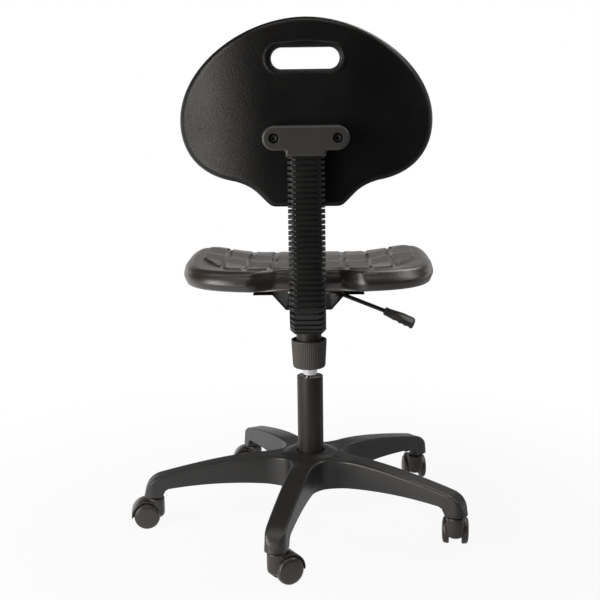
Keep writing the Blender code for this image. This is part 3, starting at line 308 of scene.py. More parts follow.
class ChairFinish(bpy.types.PropertyGroup):
    """Colours of the finishes"""
    foam: colour("Moulded foam", "Skin of the back", (0.0048, 0.0046, 0.0045))
    seat: colour("Seat foam", "Skin of the seat", (0.0260, 0.0210, 0.0176))
    rubber: colour("Rubber", "Sleeve and grommet", (0.0058, 0.0056, 0.0054))
    nylon: colour("Moulded nylon", "Base", (0.0235, 0.0232, 0.0229))
    bracket: colour("Bracket", "Tee bracket behind the back", (0.0410, 0.0402, 0.0394))
    knob: colour("Knob", "Clamp knob", (0.064, 0.057, 0.052))
    caster: colour("Caster plastic", "Hoods and wheels", (0.044, 0.037, 0.034))
    enamel: colour("Enamel", "Black coated steel", (0.0150, 0.0142, 0.0140))
    powder: colour("Powder coat", "Tray under the seat", (0.0022, 0.0021, 0.0020))
    column: colour("Column", "Grey coated column", (0.0255, 0.0213, 0.0195))
    blacked: colour("Blacked steel", "Screws and caster stems", (0.0100, 0.0094, 0.0090))
    steel: colour("Zinc steel", "Bolts, bar and pins", (0.52, 0.52, 0.53))
    chrome: colour("Chrome", "Bright tube of the lift", (0.80, 0.80, 0.81))
    bush: colour("Bush", "Guide bush and slide sleeve", (0.30, 0.29, 0.27))
    wood: colour("Plywood", "Board in the seat", (0.42, 0.29, 0.17))
    floor: colour("Floor", "Paper sweep under the chair", (0.80, 0.80, 0.80))
    # The room colour is also what the painted shade on the sweep's right side pulls towards.
    room: colour("Room", "Studio floor beside the sweep", (0.10, 0.10, 0.10))
    lamp: colour("Lamp", "Tint of the lamps", (1.0, 0.965, 0.93))


class ChairStage(bpy.types.PropertyGroup):
    """Camera and light"""
    far: length("Camera distance", "Behind the lift's axis", 2.0652)
    aside: length("Camera offset", "Sideways from the lift's axis", -0.0220)
    high: length("Camera height", "Above the floor", 0.8332)
    heading: angle("Camera heading", "Turn of the view from straight ahead", 1.093)
    pitch: angle("Camera pitch", "Downward tilt of the view", 10.85)
    roll: angle("Camera roll", "Turn of the view about its own axis", -0.75)
    lens: amount("Lens", "Focal length on a 36 mm sensor", 66.14, "CAMERA")
    key: amount("Key power", "Power of the lamp at the camera's left", 46.0, "POWER")
    fill: amount("Fill power", "Power of the lamp high at the camera's right", 12.0, "POWER")
    over: amount("Top power", "Power of the lamp overhead", 16.0, "POWER")
    low: amount("Low power", "Power of the low lamp beside the base", 12.0, "POWER")
    front: amount("Front power", "Power of the lamp over the chair's front", 24.0, "POWER")
    room: share("Room light", "Strength of the room's own light", 0.06)


GROUPS = {
    "chair_back": ChairBack, "chair_seat": ChairSeat, "chair_bellows": ChairBellows,
    "chair_bracket": ChairBracket, "chair_base": ChairBase, "chair_caster": ChairCaster,
    "chair_lift": ChairLift, "chair_clamp": ChairClamp, "chair_lever": ChairLever,
    "chair_finish": ChairFinish, "chair_stage": ChairStage,
}


# Curves
def ease(x, low, high):
    """0 below low, 1 above high and a smooth S between: t squared times (3 - 2t)."""
    t = np.clip((x - low) / (high - low), 0.0, 1.0)
    return t * t * (3.0 - 2.0 * t)


def bell(x, wide):
    """1 at zero, falling to both sides as a bell of that half width."""
    return np.exp(-(x / wide) ** 2)


def rounded(corners, trim, steps=5, loop=False):
    """A polyline with its corners swept off, each a parabola between points trim away on its legs."""
    c = np.asarray(corners, float)
    to_before = np.roll(c, 1, 0) - c
    to_after = np.roll(c, -1, 0) - c
    far_before = np.linalg.norm(to_before, axis=1, keepdims=True)
    far_after = np.linalg.norm(to_after, axis=1, keepdims=True)
    most = MOST_TRIM * np.minimum(far_before, far_after)
    cut = np.minimum(np.reshape(np.broadcast_to(trim, len(c)), (-1, 1)), most)
    a = c + to_before / far_before * cut
    b = c + to_after / far_after * cut
    s = np.linspace(0.0, 1.0, steps)[None, :, None]
    arc = (1 - s) ** 2 * a[:, None] + 2 * s * (1 - s) * c[:, None] + s ** 2 * b[:, None]
    flat = arc.reshape(-1, c.shape[1])
    if loop:
        return flat
    return np.vstack([c[:1], flat[steps:len(flat) - steps], c[-1:]])


def cubic(points, count):
    """Points of one cubic curve with four control points, without its last point."""
    p = np.asarray(points, float)
    t = (np.arange(count) / count)[:, None]
    return (1 - t) ** 3 * p[0] + 3 * t * (1 - t) ** 2 * p[1] + 3 * t * t * (1 - t) * p[2] + t ** 3 * p[3]


def evened(loop, count):
    """A closed line of points moved to even steps along its length."""
    closed = np.vstack([loop, loop[:1]])
    run = np.concatenate([[0.0], np.cumsum(np.linalg.norm(np.diff(closed, axis=0), axis=1))])
    want = np.arange(count) / count * run[-1]
    return np.stack([np.interp(want, run, closed[:, i]) for i in range(loop.shape[1])], axis=1)


def loop_normal(loop):
    """Unit inward normals of a closed clockwise outline in a plane, from its neighbours' chord."""
    chord = np.roll(loop, -1, 0) - np.roll(loop, 1, 0)
    chord /= np.linalg.norm(chord, axis=1, keepdims=True)
    return np.stack([chord[:, 1], -chord[:, 0]], axis=1)


# Meshes
def shell(points, loop_rows=False, loop_cols=True, caps=(False, False), wear=None):
    """Faces over a grid: each point joins its neighbours in row and column, a cap closes an end row."""
    rows, cols = points.shape[:2]
    index = np.arange(rows * cols).reshape(rows, cols)
    marks = np.zeros((rows, cols)) if wear is None else np.broadcast_to(wear, (rows, cols))
    if loop_rows:
        index = np.vstack([index, index[:1]])
    if loop_cols:
        index = np.hstack([index, index[:, :1]])
    quads = np.stack([index[:-1, :-1], index[1:, :-1], index[1:, 1:], index[:-1, 1:]], axis=-1).reshape(-1, 4)
    verts = [points.reshape(-1, 3)]
    wear_and_light_marks = [marks.reshape(-1)]
    tris = [np.zeros((0, 3), int)]
    for end, wanted in enumerate(caps):
        if wanted:
            row = index[-end]
            low, high = (row[1:], row[:-1]) if end else (row[:-1], row[1:])
            tip = sum(len(v) for v in verts)
            verts.append(points[-end].mean(axis=0, keepdims=True))
            wear_and_light_marks.append(marks[-end][:1])
            tris.append(np.stack([low, high, np.full(len(low), tip)], axis=-1))
    verts, tris, wear_and_light_marks = np.vstack(verts), np.vstack(tris), np.concatenate(wear_and_light_marks)
    corner = verts[np.vstack([quads[:, [0, 1, 2]], quads[:, [0, 2, 3]], tris])]
    if np.einsum("ij,ij->", corner[:, 0], np.cross(corner[:, 1], corner[:, 2])) < 0.0:
        quads, tris = quads[:, ::-1], tris[:, ::-1]
    return verts, quads, tris, wear_and_light_marks


def piece(name, shells, look, body, replaced=(), sharp=None, weld=False):
    """One object at the origin from one or more closed shells, riding on its body."""
    starts = np.cumsum([0] + [len(s[0]) for s in shells])
    verts = np.vstack([s[0] for s in shells]) + AXIS
    quads = np.vstack([s[1] + at for s, at in zip(shells, starts)])
    tris = np.vstack([s[2] + at for s, at in zip(shells, starts)])
    mesh = bpy.data.meshes.new(name)
    mesh.vertices.add(len(verts))
    mesh.vertices.foreach_set("co", verts.astype(np.float32).ravel())
    corners = np.concatenate([quads.ravel(), tris.ravel()]).astype(np.int32)
    mesh.loops.add(len(corners))
    mesh.loops.foreach_set("vertex_index", corners)
    first = np.concatenate([np.arange(len(quads)) * 4, len(quads) * 4 + np.arange(len(tris)) * 3])
    mesh.polygons.add(len(first))
    mesh.polygons.foreach_set("loop_start", first.astype(np.int32))
    mesh.update(calc_edges=True)
    # Marks that the finishes draw lighter: painted highlights on edges and the handle's roof, painted light
    # and shade on the sleeve's ribs, dust on the wheels' treads.
    wear_and_light_marks = mesh.attributes.new("wear", "FLOAT", "POINT")
    wear_and_light_marks.data.foreach_set("value", np.concatenate([s[3] for s in shells]).astype(np.float32))
    if weld:
        bm = bmesh.new()
        bm.from_mesh(mesh)
        bmesh.ops.remove_doubles(bm, verts=bm.verts, dist=WELD)
        bmesh.ops.recalc_face_normals(bm, faces=bm.faces)
        bm.to_mesh(mesh)
        bm.free()
    mesh.polygons.foreach_set("use_smooth", np.ones(len(mesh.polygons), bool))
    if sharp:
        mesh.set_sharp_from_angle(angle=math.radians(sharp))
    mesh.validate()
    if not mesh.polygons:
        raise RuntimeError(f"{name} has no faces")
    mesh.materials.append(look)
    obj = bpy.data.objects.new(name, mesh)
    bpy.context.scene.collection.objects.link(obj)
    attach(obj, body)
    if replaced:
        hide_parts(*replaced)
    return obj


def round_angles(count):
    """Angles of count even steps round a circle, half a step on from zero."""
    return TURN * (np.arange(count) + 0.5) / count


def turned(profile, segs, at=(0.0, 0.0, 0.0), axis="Z", swell=0.0, lift=0.0, loop=False, wear=None):
    """A profile of (radius, height) turned round an axis; swell and lift are added at each point."""
    profile = np.asarray(profile, float)
    a = round_angles(segs)
    radius = np.broadcast_to(profile[:, :1] + swell, (len(profile), segs))
    height = np.broadcast_to(profile[:, 1:] + lift, radius.shape)
    p, q = radius * np.cos(a), radius * np.sin(a)
    order = {"Z": (p, q, height), "Y": (p, height, q)}[axis]
    if wear is not None:
        wear = np.reshape(wear, (-1, 1))
    return shell(np.stack(order, axis=-1) + np.asarray(at), loop, True, (not loop, not loop), wear)


def swept(path, section, across, wear=None):
    """A section of (across, up) points carried along a path; up is square to the path and to across."""
    path = np.asarray(path, float)
    along = np.gradient(path, axis=0)
    along /= np.linalg.norm(along, axis=1, keepdims=True)
    across = np.asarray(across, float)
    up = np.cross(across, along)
    section = np.broadcast_to(section, (len(path),) + np.shape(section)[-2:])
    points = path[:, None] + section[..., :1] * across + section[..., 1:] * up[:, None]
    return shell(points, False, True, (True, True), wear)


def oval(wide, high, power, count):
    """A superellipse of half sizes wide and high, which may be columns of sizes along a path."""
    a = round_angles(count)
    c, s = np.cos(a), np.sin(a)
    x = np.sign(c) * np.abs(c) ** (2.0 / power)
    y = np.sign(s) * np.abs(s) ** (2.0 / power)
    wide, high = np.reshape(wide, (-1, 1)), np.reshape(high, (-1, 1))
    return np.stack([wide * x, high * y], axis=-1)


def box_loop(wide, high, trim, steps=3):
    """A rounded rectangle of half sizes wide and high, as a closed loop."""
    return rounded([(wide, -high), (wide, high), (-wide, high), (-wide, -high)], trim, steps, True)


def moved(shape, at, turn):
    """A shell turned about the vertical and moved to its place."""
    c, s = math.cos(turn), math.sin(turn)
    spin = np.array([[c, s, 0.0], [-s, c, 0.0], [0.0, 0.0, 1.0]])
    return (shape[0] @ spin + np.asarray(at),) + shape[1:]


# Shader nodes
class Wire:
    """A shader socket that works in plain sums; node adds any other node beside it."""

    def __init__(self, tree, socket=None):
        self.tree = tree
        self.socket = socket

    def node(self, kind, settings=None, sockets=None, out=0):
        made = self.tree.nodes.new("ShaderNode" + kind)
        for key, value in (settings or {}).items():
            setattr(made, key, value)
        for key, value in (sockets or {}).items():
            if isinstance(value, Wire):
                self.tree.links.new(value.socket, made.inputs[key])
            else:
                made.inputs[key].default_value = value
        return Wire(self.tree, made.outputs[out] if made.outputs else None)

    def sum(self, operation, a, b):
        return self.node("Math", {"operation": operation}, {0: a, 1: b})

    def __add__(self, other):
        return self.sum("ADD", self, other)

    def __radd__(self, other):
        return self.sum("ADD", other, self)

    def __sub__(self, other):
        return self.sum("SUBTRACT", self, other)

    def __rsub__(self, other):
        return self.sum("SUBTRACT", other, self)

    def __mul__(self, other):
        return self.sum("MULTIPLY", self, other)

    def __rmul__(self, other):
        return self.sum("MULTIPLY", other, self)


def blank(name):
    """A new material with an empty node tree, and the wire that writes it."""
    mat = bpy.data.materials.new(name)
    mat.use_nodes = True
    mat.node_tree.nodes.clear()
    return mat, Wire(mat.node_tree)


def spot(pen, stretch=None):
    """Object coordinates, scaled along each axis if stretch is given."""
    place = pen.node("TexCoord", out="Object")
    if stretch:
        place = pen.node("VectorMath", {"operation": "MULTIPLY"}, {0: place, 1: stretch})
    return place


def noise(pen, place, scale, detail=2.0, rough=0.5):
    sockets = {"Vector": place, "Scale": scale, "Detail": detail, "Roughness": rough}
    return pen.node("TexNoise", None, sockets, "Fac")


def cells(pen, place, scale):
    sockets = {"Vector": place, "Scale": scale, "Smoothness": 0.4}
    return pen.node("TexVoronoi", {"feature": "SMOOTH_F1"}, sockets, "Distance")


def ramp(pen, value, low, high, at_low=0.0, at_high=1.0):
    """A value mapped from low and high to two others in a smooth S, and held beyond them."""
    settings = {"clamp": True, "interpolation_type": "SMOOTHSTEP"}
    return pen.node("MapRange", settings, {0: value, 1: low, 2: high, 3: at_low, 4: at_high})


def shades(pen, mask, low, high):
    """A mix of two colours by a mask; each is a plain colour or a wire."""
    low, high = (c if isinstance(c, Wire) else (*c, 1.0) for c in (low, high))
    return pen.node("Mix", {"data_type": "RGBA", "clamp_factor": True}, {0: mask, 6: low, 7: high}, 2)


def tone(rgb, gain, warm=0.0):
    """A colour made lighter or darker, and a little warmer."""
    r, g, b = rgb
    return (min(1.0, r * gain * (1.0 + warm)), min(1.0, g * gain), min(1.0, b * gain * (1.0 - warm)))


def seal(mat, pen, base, rough, height=None, deep=0.0001, **sockets):
    """Ends a material with its shader; height is a wire and deep its depth in metres."""
    values = {"Base Color": base, "Roughness": rough}
    values.update({key.replace("_", " "): value for key, value in sockets.items()})
    if height is not None:
        values["Normal"] = pen.node("Bump", None, {"Strength": 1.0, "Distance": deep, "Height": height})
    shader = pen.node("BsdfPrincipled", None, values)
    pen.node("OutputMaterial", None, {"Surface": shader})
    return mat


def wear_and_light_mask(pen):
    return pen.node("Attribute", {"attribute_name": "wear"}, None, "Fac")


def foam_skin(name, rgb, pebble, rough, deep, level, vent=None, bloom=None):
    """Moulded foam skin: small pebbles, patchy sheen, a painted highlight on marked edges and, if asked,
    painted shade for a vent hole.
    """
    mat, pen = blank(name)
    place = spot(pen)
    grain = cells(pen, place, pebble)
    fine = noise(pen, place, pebble * 2.6, 2.0, 0.6)
    patch = noise(pen, place, 14.0, 3.0, 0.6)
    edge = wear_and_light_mask(pen)
    # Painted highlight: the marked edges, the back's rear rim and slot lip, are drawn lighter.
    base = shades(pen, 0.75 * patch + 0.35 * fine + 0.35 * edge - 0.25, tone(rgb, 0.72), tone(rgb, 1.5, 0.05))
    # Painted shade: a near-black spot stands in for the small vent hole, which the surface does not have.
    if vent:
        away = pen.node("VectorMath", {"operation": "DISTANCE"}, {0: place, 1: vent}, "Value")
        base = shades(pen, ramp(pen, away, 0.0011, 0.0021), tone(rgb, 0.05), base)
    sheen = rough + 0.16 * (patch - 0.5) + 0.14 * (fine - 0.5) - 0.05 * edge
    sockets = {"Specular_IOR_Level": level}
    if bloom:
        sockets.update(Sheen_Weight=0.10, Sheen_Roughness=0.4, Sheen_Tint=bloom)
    return seal(mat, pen, base, sheen, 0.75 * grain + 0.25 * fine, deep, **sockets)


def rubber_skin(name, rgb):
    """Moulded rubber: nearly matt, a faint bloom in patches, painted light on the crests and painted shade in
    the grooves.
    """
    mat, pen = blank(name)
    place = spot(pen)
    bloom = noise(pen, place, 32.0, 4.0, 0.62)
    fine = noise(pen, place, 1400.0, 2.0, 0.5)
    crest = wear_and_light_mask(pen)
    # Painted light and shade: the marked crests are drawn lighter, the grooves darker.
    base = shades(pen, 0.9 * bloom + 0.5 * crest - 0.35, tone(rgb, 0.6), tone(rgb, 1.8, 0.02))
    sheen = 0.38 + 0.20 * (bloom - 0.5) + 0.05 * fine
    return seal(mat, pen, base, sheen, fine, 0.00005, Specular_IOR_Level=0.42)


def moulded(name, rgb, rough, grain=1500.0, deep=0.00010, level=0.45):
    """Spark-textured moulding: fine grain, flow marks, and marked parts drawn lighter, painted highlights and
    dust.
    """
    mat, pen = blank(name)
    place = spot(pen)
    fine = noise(pen, place, grain, 2.0, 0.55)
    flow = noise(pen, spot(pen, (1.0, 1.0, 2.4)), 9.0, 4.0, 0.62)
    speck = noise(pen, place, grain * 0.31, 1.0, 0.4)
    edge = wear_and_light_mask(pen)
    # Marked parts drawn lighter: painted highlights on the base's and bracket's edges and the handle's roof,
    # dust on the wheels' treads, the knob's fluted band a little.
    mask = 0.8 * flow + 0.3 * speck + 0.5 * edge - 0.3
    base = shades(pen, mask, tone(rgb, 0.8), tone(rgb, 1.45, 0.02))
    sheen = rough + 0.14 * (flow - 0.5) + 0.12 * (speck - 0.5) - 0.07 * edge
    return seal(mat, pen, base, sheen, 0.65 * fine + 0.35 * speck, deep, Specular_IOR_Level=level)


def enamelled(name, rgb, rough, level=0.5, coat=0.12):
    """Baked enamel on steel: orange peel, dust specks and a soft coat."""
    mat, pen = blank(name)
    place = spot(pen)
    peel = noise(pen, place, 420.0, 1.0, 0.4)
    dust = noise(pen, place, 1700.0, 2.0, 0.6)
    haze = noise(pen, place, 11.0, 3.0, 0.6)
    base = shades(pen, haze + 0.4 * dust - 0.2, tone(rgb, 0.8), tone(rgb, 1.45, 0.04))
    sheen = rough + 0.12 * (haze - 0.5) + 0.08 * (dust - 0.5)
    sockets = {"Specular_IOR_Level": level, "Coat_Weight": coat, "Coat_Roughness": 0.25}
    return seal(mat, pen, base, sheen, peel, 0.00005, **sockets)


def bare_steel(name, rgb, rough, stretch, scale=260.0):
    """Plated steel: drawn streaks, small scratches and dull patches."""
    mat, pen = blank(name)
    streak = noise(pen, spot(pen, stretch), scale, 3.0, 0.6)
    dull = noise(pen, spot(pen), 40.0, 3.0, 0.6)
    base = shades(pen, 0.7 * dull + 0.5 * streak - 0.1, tone(rgb, 0.72, 0.02), tone(rgb, 1.08))
    sheen = rough + 0.18 * (streak - 0.5) + 0.14 * (dull - 0.5)
    return seal(mat, pen, base, sheen, streak, 0.00001, Metallic=1.0)


def plywood(name, rgb):
    """Birch ply: long grain in rings of noise, darker pores."""
    mat, pen = blank(name)
    ring = noise(pen, spot(pen, (1.0, 0.09, 1.0)), 130.0, 4.0, 0.6)
    pore = noise(pen, spot(pen, (1.0, 0.05, 1.0)), 900.0, 2.0, 0.6)
    base = shades(pen, 0.8 * ring + 0.4 * pore - 0.1, tone(rgb, 0.6, 0.05), tone(rgb, 1.2))
    return seal(mat, pen, base, 0.62 + 0.15 * (pore - 0.5), ring, 0.00008)


LOOKS = {}


def looks():
    """Every finish by name, made once from the colours in the panel."""
    tints = bpy.context.scene.chair_finish
    if not LOOKS:
        LOOKS.update(
            foam_back=foam_skin("foam_back", tints.foam, pebble=430.0, rough=0.40, deep=0.00030, level=0.29,
                                vent=vent_place()),
            foam_seat=foam_skin("foam_seat", tints.seat, pebble=520.0, rough=0.32, deep=0.00022, level=0.8,
                                bloom=(1.0, 0.82, 0.68, 1.0)),
            rubber=rubber_skin("rubber", tints.rubber),
            nylon=moulded("nylon", tints.nylon, rough=0.40, level=0.55),
            bracket=moulded("bracket_nylon", tints.bracket, rough=0.46, grain=1900.0, deep=0.00006),
            knob=moulded("knob_nylon", tints.knob, rough=0.50, grain=1700.0, deep=0.00006),
            handle=moulded("handle_nylon", tints.bracket, rough=0.44, grain=1800.0, deep=0.00006),
            caster=moulded("caster_plastic", tints.caster, rough=0.30, grain=2300.0, deep=0.00003, level=0.5),
            enamel=enamelled("enamel", tints.enamel, rough=0.34),
            powder=enamelled("powder_coat", tints.powder, rough=0.50, level=0.12, coat=0.0),
            column=enamelled("column_enamel", tints.column, rough=0.42, level=0.30, coat=0.0),
            blacked=enamelled("blacked_steel", tints.blacked, rough=0.40),
            steel=bare_steel("zinc_steel", tints.steel, rough=0.34, stretch=(1.0, 1.0, 0.12)),
            chrome=bare_steel("chrome", tints.chrome, rough=0.09, stretch=(1.0, 1.0, 0.04), scale=420.0),
            bush=moulded("bush_acetal", tints.bush, rough=0.45, grain=1400.0, deep=0.00004),
            wood=plywood("plywood", tints.wood),
        )
    return LOOKS


# Back
def back_outline(s, count):
    """Outline (x, z) about the widest line: four cubic curves from top to foot, mirrored, in even steps."""
    w, up, down, neck = s.half, s.up, s.down, s.neck
    lobe = (w * 0.566, -down * 0.698)
    knee = (neck + 0.007, -down * 0.955)
    foot = (neck - 0.008, -down)
    half = np.vstack([
        cubic([(0.0, up), (w * 0.474, up), (w, up * 0.530), (w, 0.0)], 90),
        cubic([(w, 0.0), (w, -down * 0.376), (w * 0.84, -down * 0.637), lobe], 60),
        cubic([lobe, (w * 0.407, -down * 0.757), (neck + 0.022, -down * 0.86), knee], 40),
        cubic([knee, (neck + 0.003, -down * 0.985), (neck - 0.002, -down), foot], 20),
        [foot],
    ])
    return evened(np.vstack([half, half[:0:-1] * (-1.0, 1.0)]), count)


def slot_edge(s, reach):
    """Where rays from the slot's middle meet its outline, two straights joined by half circles."""
    bend = np.arctan2(reach[:, 1], reach[:, 0])
    c, d = np.cos(bend), np.sin(bend)
    run = np.abs(c) * s.slot_half
    out = run + np.sqrt(np.maximum(0.0, run ** 2 - s.slot_half ** 2 + s.slot_r ** 2))
    rise = np.maximum(np.abs(d), TINY)
    straight = np.abs(c) * s.slot_r / rise <= s.slot_half
    return np.where(straight, s.slot_r / rise, out)[:, None] * np.stack([c, d], axis=1)


def back_wing(s, x):
    """How far the back curves forwards at x: level in the middle, then a parabola."""
    return -s.wing * (np.maximum(0.0, np.abs(x) - s.wing_from) / (s.half - s.wing_from)) ** 2


def vent_place():
    """Where the mould's vent left a small hole on the back's rear face."""
    s = bpy.context.scene.chair_back
    return tuple(AXIS + (s.vent_x, BACK_FACE + back_wing(s, s.vent_x), DECK + s.mid + s.vent_z))


def panel_rise(x, y, s, limit, wall):
    """Height over the channels: columns of tiles that narrow and widen by turns.

    A tile rises in an S over its wall and leans up along its run to a crest.
    """
    run = s.panel_row / 2.0
    column = np.round(x / s.panel_pitch)
    back = (s.panel_place - y - (column % 2) * run) % s.panel_row
    half = s.panel_wide - (s.panel_wide - s.panel_narrow) * np.abs(back / run - 1)
    inside = np.minimum(half - np.abs(x - s.panel_pitch * column), limit)
    tile = back % run / run
    lean = np.minimum(tile / s.tile_crest, 1.0) - ease(tile, s.tile_crest, 1.0)
    return ease(inside, -wall, 0.0) * (s.panel_up + s.tile_lean * lean)


class CHAIR_OT_back(bpy.types.Operator):
    """Moulded backrest: a closed section carried round its outline and through the hand slot"""
    bl_idname = "chair.back"
    bl_label = "Backrest"

    def execute(self, context):
        s, seat = context.scene.chair_back, context.scene.chair_seat
        around, edge_rows, rear_rows, front_rows = 470, 9, 56, 84
        rear_crowd = 1.6  # crowds the rear face's rows towards the slot's bead
        outer = back_outline(s, around)
        inner = slot_edge(s, outer - (0.0, s.slot_up))
        centre = np.clip(inner[:, :1], -s.slot_half, s.slot_half) * (1.0, 0.0)
        outward = (inner - centre) / np.linalg.norm(inner - centre, axis=1, keepdims=True)
        inner = inner + (0.0, s.slot_up)
        inward = loop_normal(outer)
        q = np.linspace(0.0, QUARTER, edge_rows)[:-1]
        zero, one = np.zeros_like(q), np.ones_like(q)
        rear = np.linspace(0.0, 1.0, rear_rows)[:-1] ** rear_crowd
        front = np.linspace(1.0, 0.0, front_rows)[:-1]
        wall = np.linspace(0.0, 1.0, edge_rows)[:-1]
        t = s.thick
        # Rows of (share across, offset at slot, offset at rim, depth) round the section
        rows = [
            (rear, rear * 0 + s.lip_rear, rear * 0 + s.rim_rear, rear * 0),
            (one, zero, s.rim_rear * (1 - np.sin(q)), -s.rim_rear * (1 - np.cos(q))),
            (wall * 0 + 1, wall * 0, wall * 0, -s.rim_rear - (t - s.rim_rear - s.rim_front) * wall),
            (one, zero, s.rim_front * (1 - np.cos(q)), s.rim_front * (1 - np.sin(q)) - t),
            (front, front * 0 + s.lip_front, front * 0 + s.rim_front, front * 0 - t),
            (zero, s.lip_front * (1 - np.sin(q)), zero, s.lip_front * (1 - np.cos(q)) - t),
            (wall * 0, wall * 0, wall * 0, s.lip_front - t + (t - s.lip_front - s.lip_rear) * wall),
            (zero, s.lip_rear * (1 - np.cos(q)), zero, -s.lip_rear * (1 - np.sin(q))),
        ]
        across, at_slot, at_rim, depth = [np.concatenate(part)[:, None, None] for part in zip(*rows)]
        edge = inner + outward * at_slot
        flat = (1 - across) * edge + across * (outer + inward * at_rim)
        x, z = flat[..., 0], flat[..., 1]
        away = np.linalg.norm(flat - inner, axis=-1)
        across, depth = across[..., 0], depth[..., 0]
        front_skin, rear_skin = 0.004, 0.002  # depths over which a face's relief fades at its edge
        panel_shift, panel_limit, panel_soft = 0.01, 1.0, 2.0
        facing = ease(-depth, t - front_skin, t)
        crown = s.crown * np.sin(math.pi * across) * facing
        # The panels keep clear of the slot and of the rim, as shares across
        field = facing * ease(across, 0.12, 0.22) * (1 - ease(across, 0.80, 0.90))
        panel = panel_rise(x, z + panel_shift, seat, panel_limit, panel_soft * seat.panel_wall)
        bead = s.bead * bell(away - s.bead_out, s.bead_wide) * ease(depth, -rear_skin, 0.0)
        y = BACK_FACE + depth + back_wing(s, x) - crown - panel * field + bead
        # Painted highlight: these rows are drawn lighter where the rim and the lip catch the light.
        wear_and_light_marks = (1, 7)  # the rows of the rear rim and of the slot's rear lip
        rim = np.concatenate([r[0] * 0 + float(i in wear_and_light_marks) for i, r in enumerate(rows)])[:, None]
        skin = shell(np.stack([x, y, DECK + s.mid + z], axis=-1), True, True, wear=rim)
        pad = piece("back_skin", [skin], looks()["foam_back"], "back", ("backrest",))
        return {"FINISHED"}


# Seat, with bands as shares of its half width or half depth
NOTCH_BAND = (0.56, 0.93)
SIDE_CURL, REAR_CURL, FRONT_FALL = (0.36, 0.92), (0.28, 0.90), (0.45, 1.05)
FRONT_CALM = 0.55  # share of the sides' curl that the front takes away
UNDER_FRONT, UNDER_REAR = (0.45, 0.95), (0.20, 0.80)
END_BAND = (0.45, 0.85)


def band(x, size, span):
    """The smooth S of ease over a band given as shares of a size."""
    return ease(x, span[0] * size, span[1] * size)


def seat_outline(s, u, v):
    """Superellipse in the direction (u, v), hollowed in the middle of the rear."""
    reach = (np.abs(u) ** s.power + np.abs(v) ** s.power) ** (-1.0 / s.power)
    x, y = s.half * reach * u, s.deep * reach * v
    middle = 1 - ease(np.abs(x), s.notch_half - s.notch_ease, s.notch_half + s.notch_ease)
    return np.stack([x, y - s.notch * middle * band(y, s.deep, NOTCH_BAND)], axis=-1)


def seat_top(s, x, y):
    """Top height: flat in the middle, curling up in an S at the sides and rear, falling at the front."""
    side = band(np.abs(x), s.half, SIDE_CURL)
    rear = band(y, s.deep, REAR_CURL)
    front = band(-y, s.deep, FRONT_FALL)
    rise = s.rise * (1 - (1 - side * (1 - FRONT_CALM * front)) * (1 - rear))
    return DECK + s.thick + rise - s.front_drop * front


def seat_under(s, y):
    """Height of the underside's outer edge along the outline: S curves from side to rear and front."""
    front = band(-y, s.deep, UNDER_FRONT)
    rear = band(y, s.deep, UNDER_REAR)
    return s.under_side + (s.under_rear - s.under_side) * rear + (s.under_front - s.under_side) * front


def seat_roll(s, y):
    """Height and start of the upper edge's rounding along the outline: an S curve, tighter at the rear."""
    rear = band(y, s.deep, END_BAND)
    high = s.roll_high + (s.roll_rear - s.roll_high) * rear
    return high, s.roll_start + (s.roll_tight - s.roll_start) * rear


def turn_in(part, start):
    """A quarter circle's drop, 0 up to start and 1 where part reaches 1."""
    return 1 - np.sqrt(1 - np.clip((part - start) / (1.0 - start), 0.0, 1.0) ** 2)


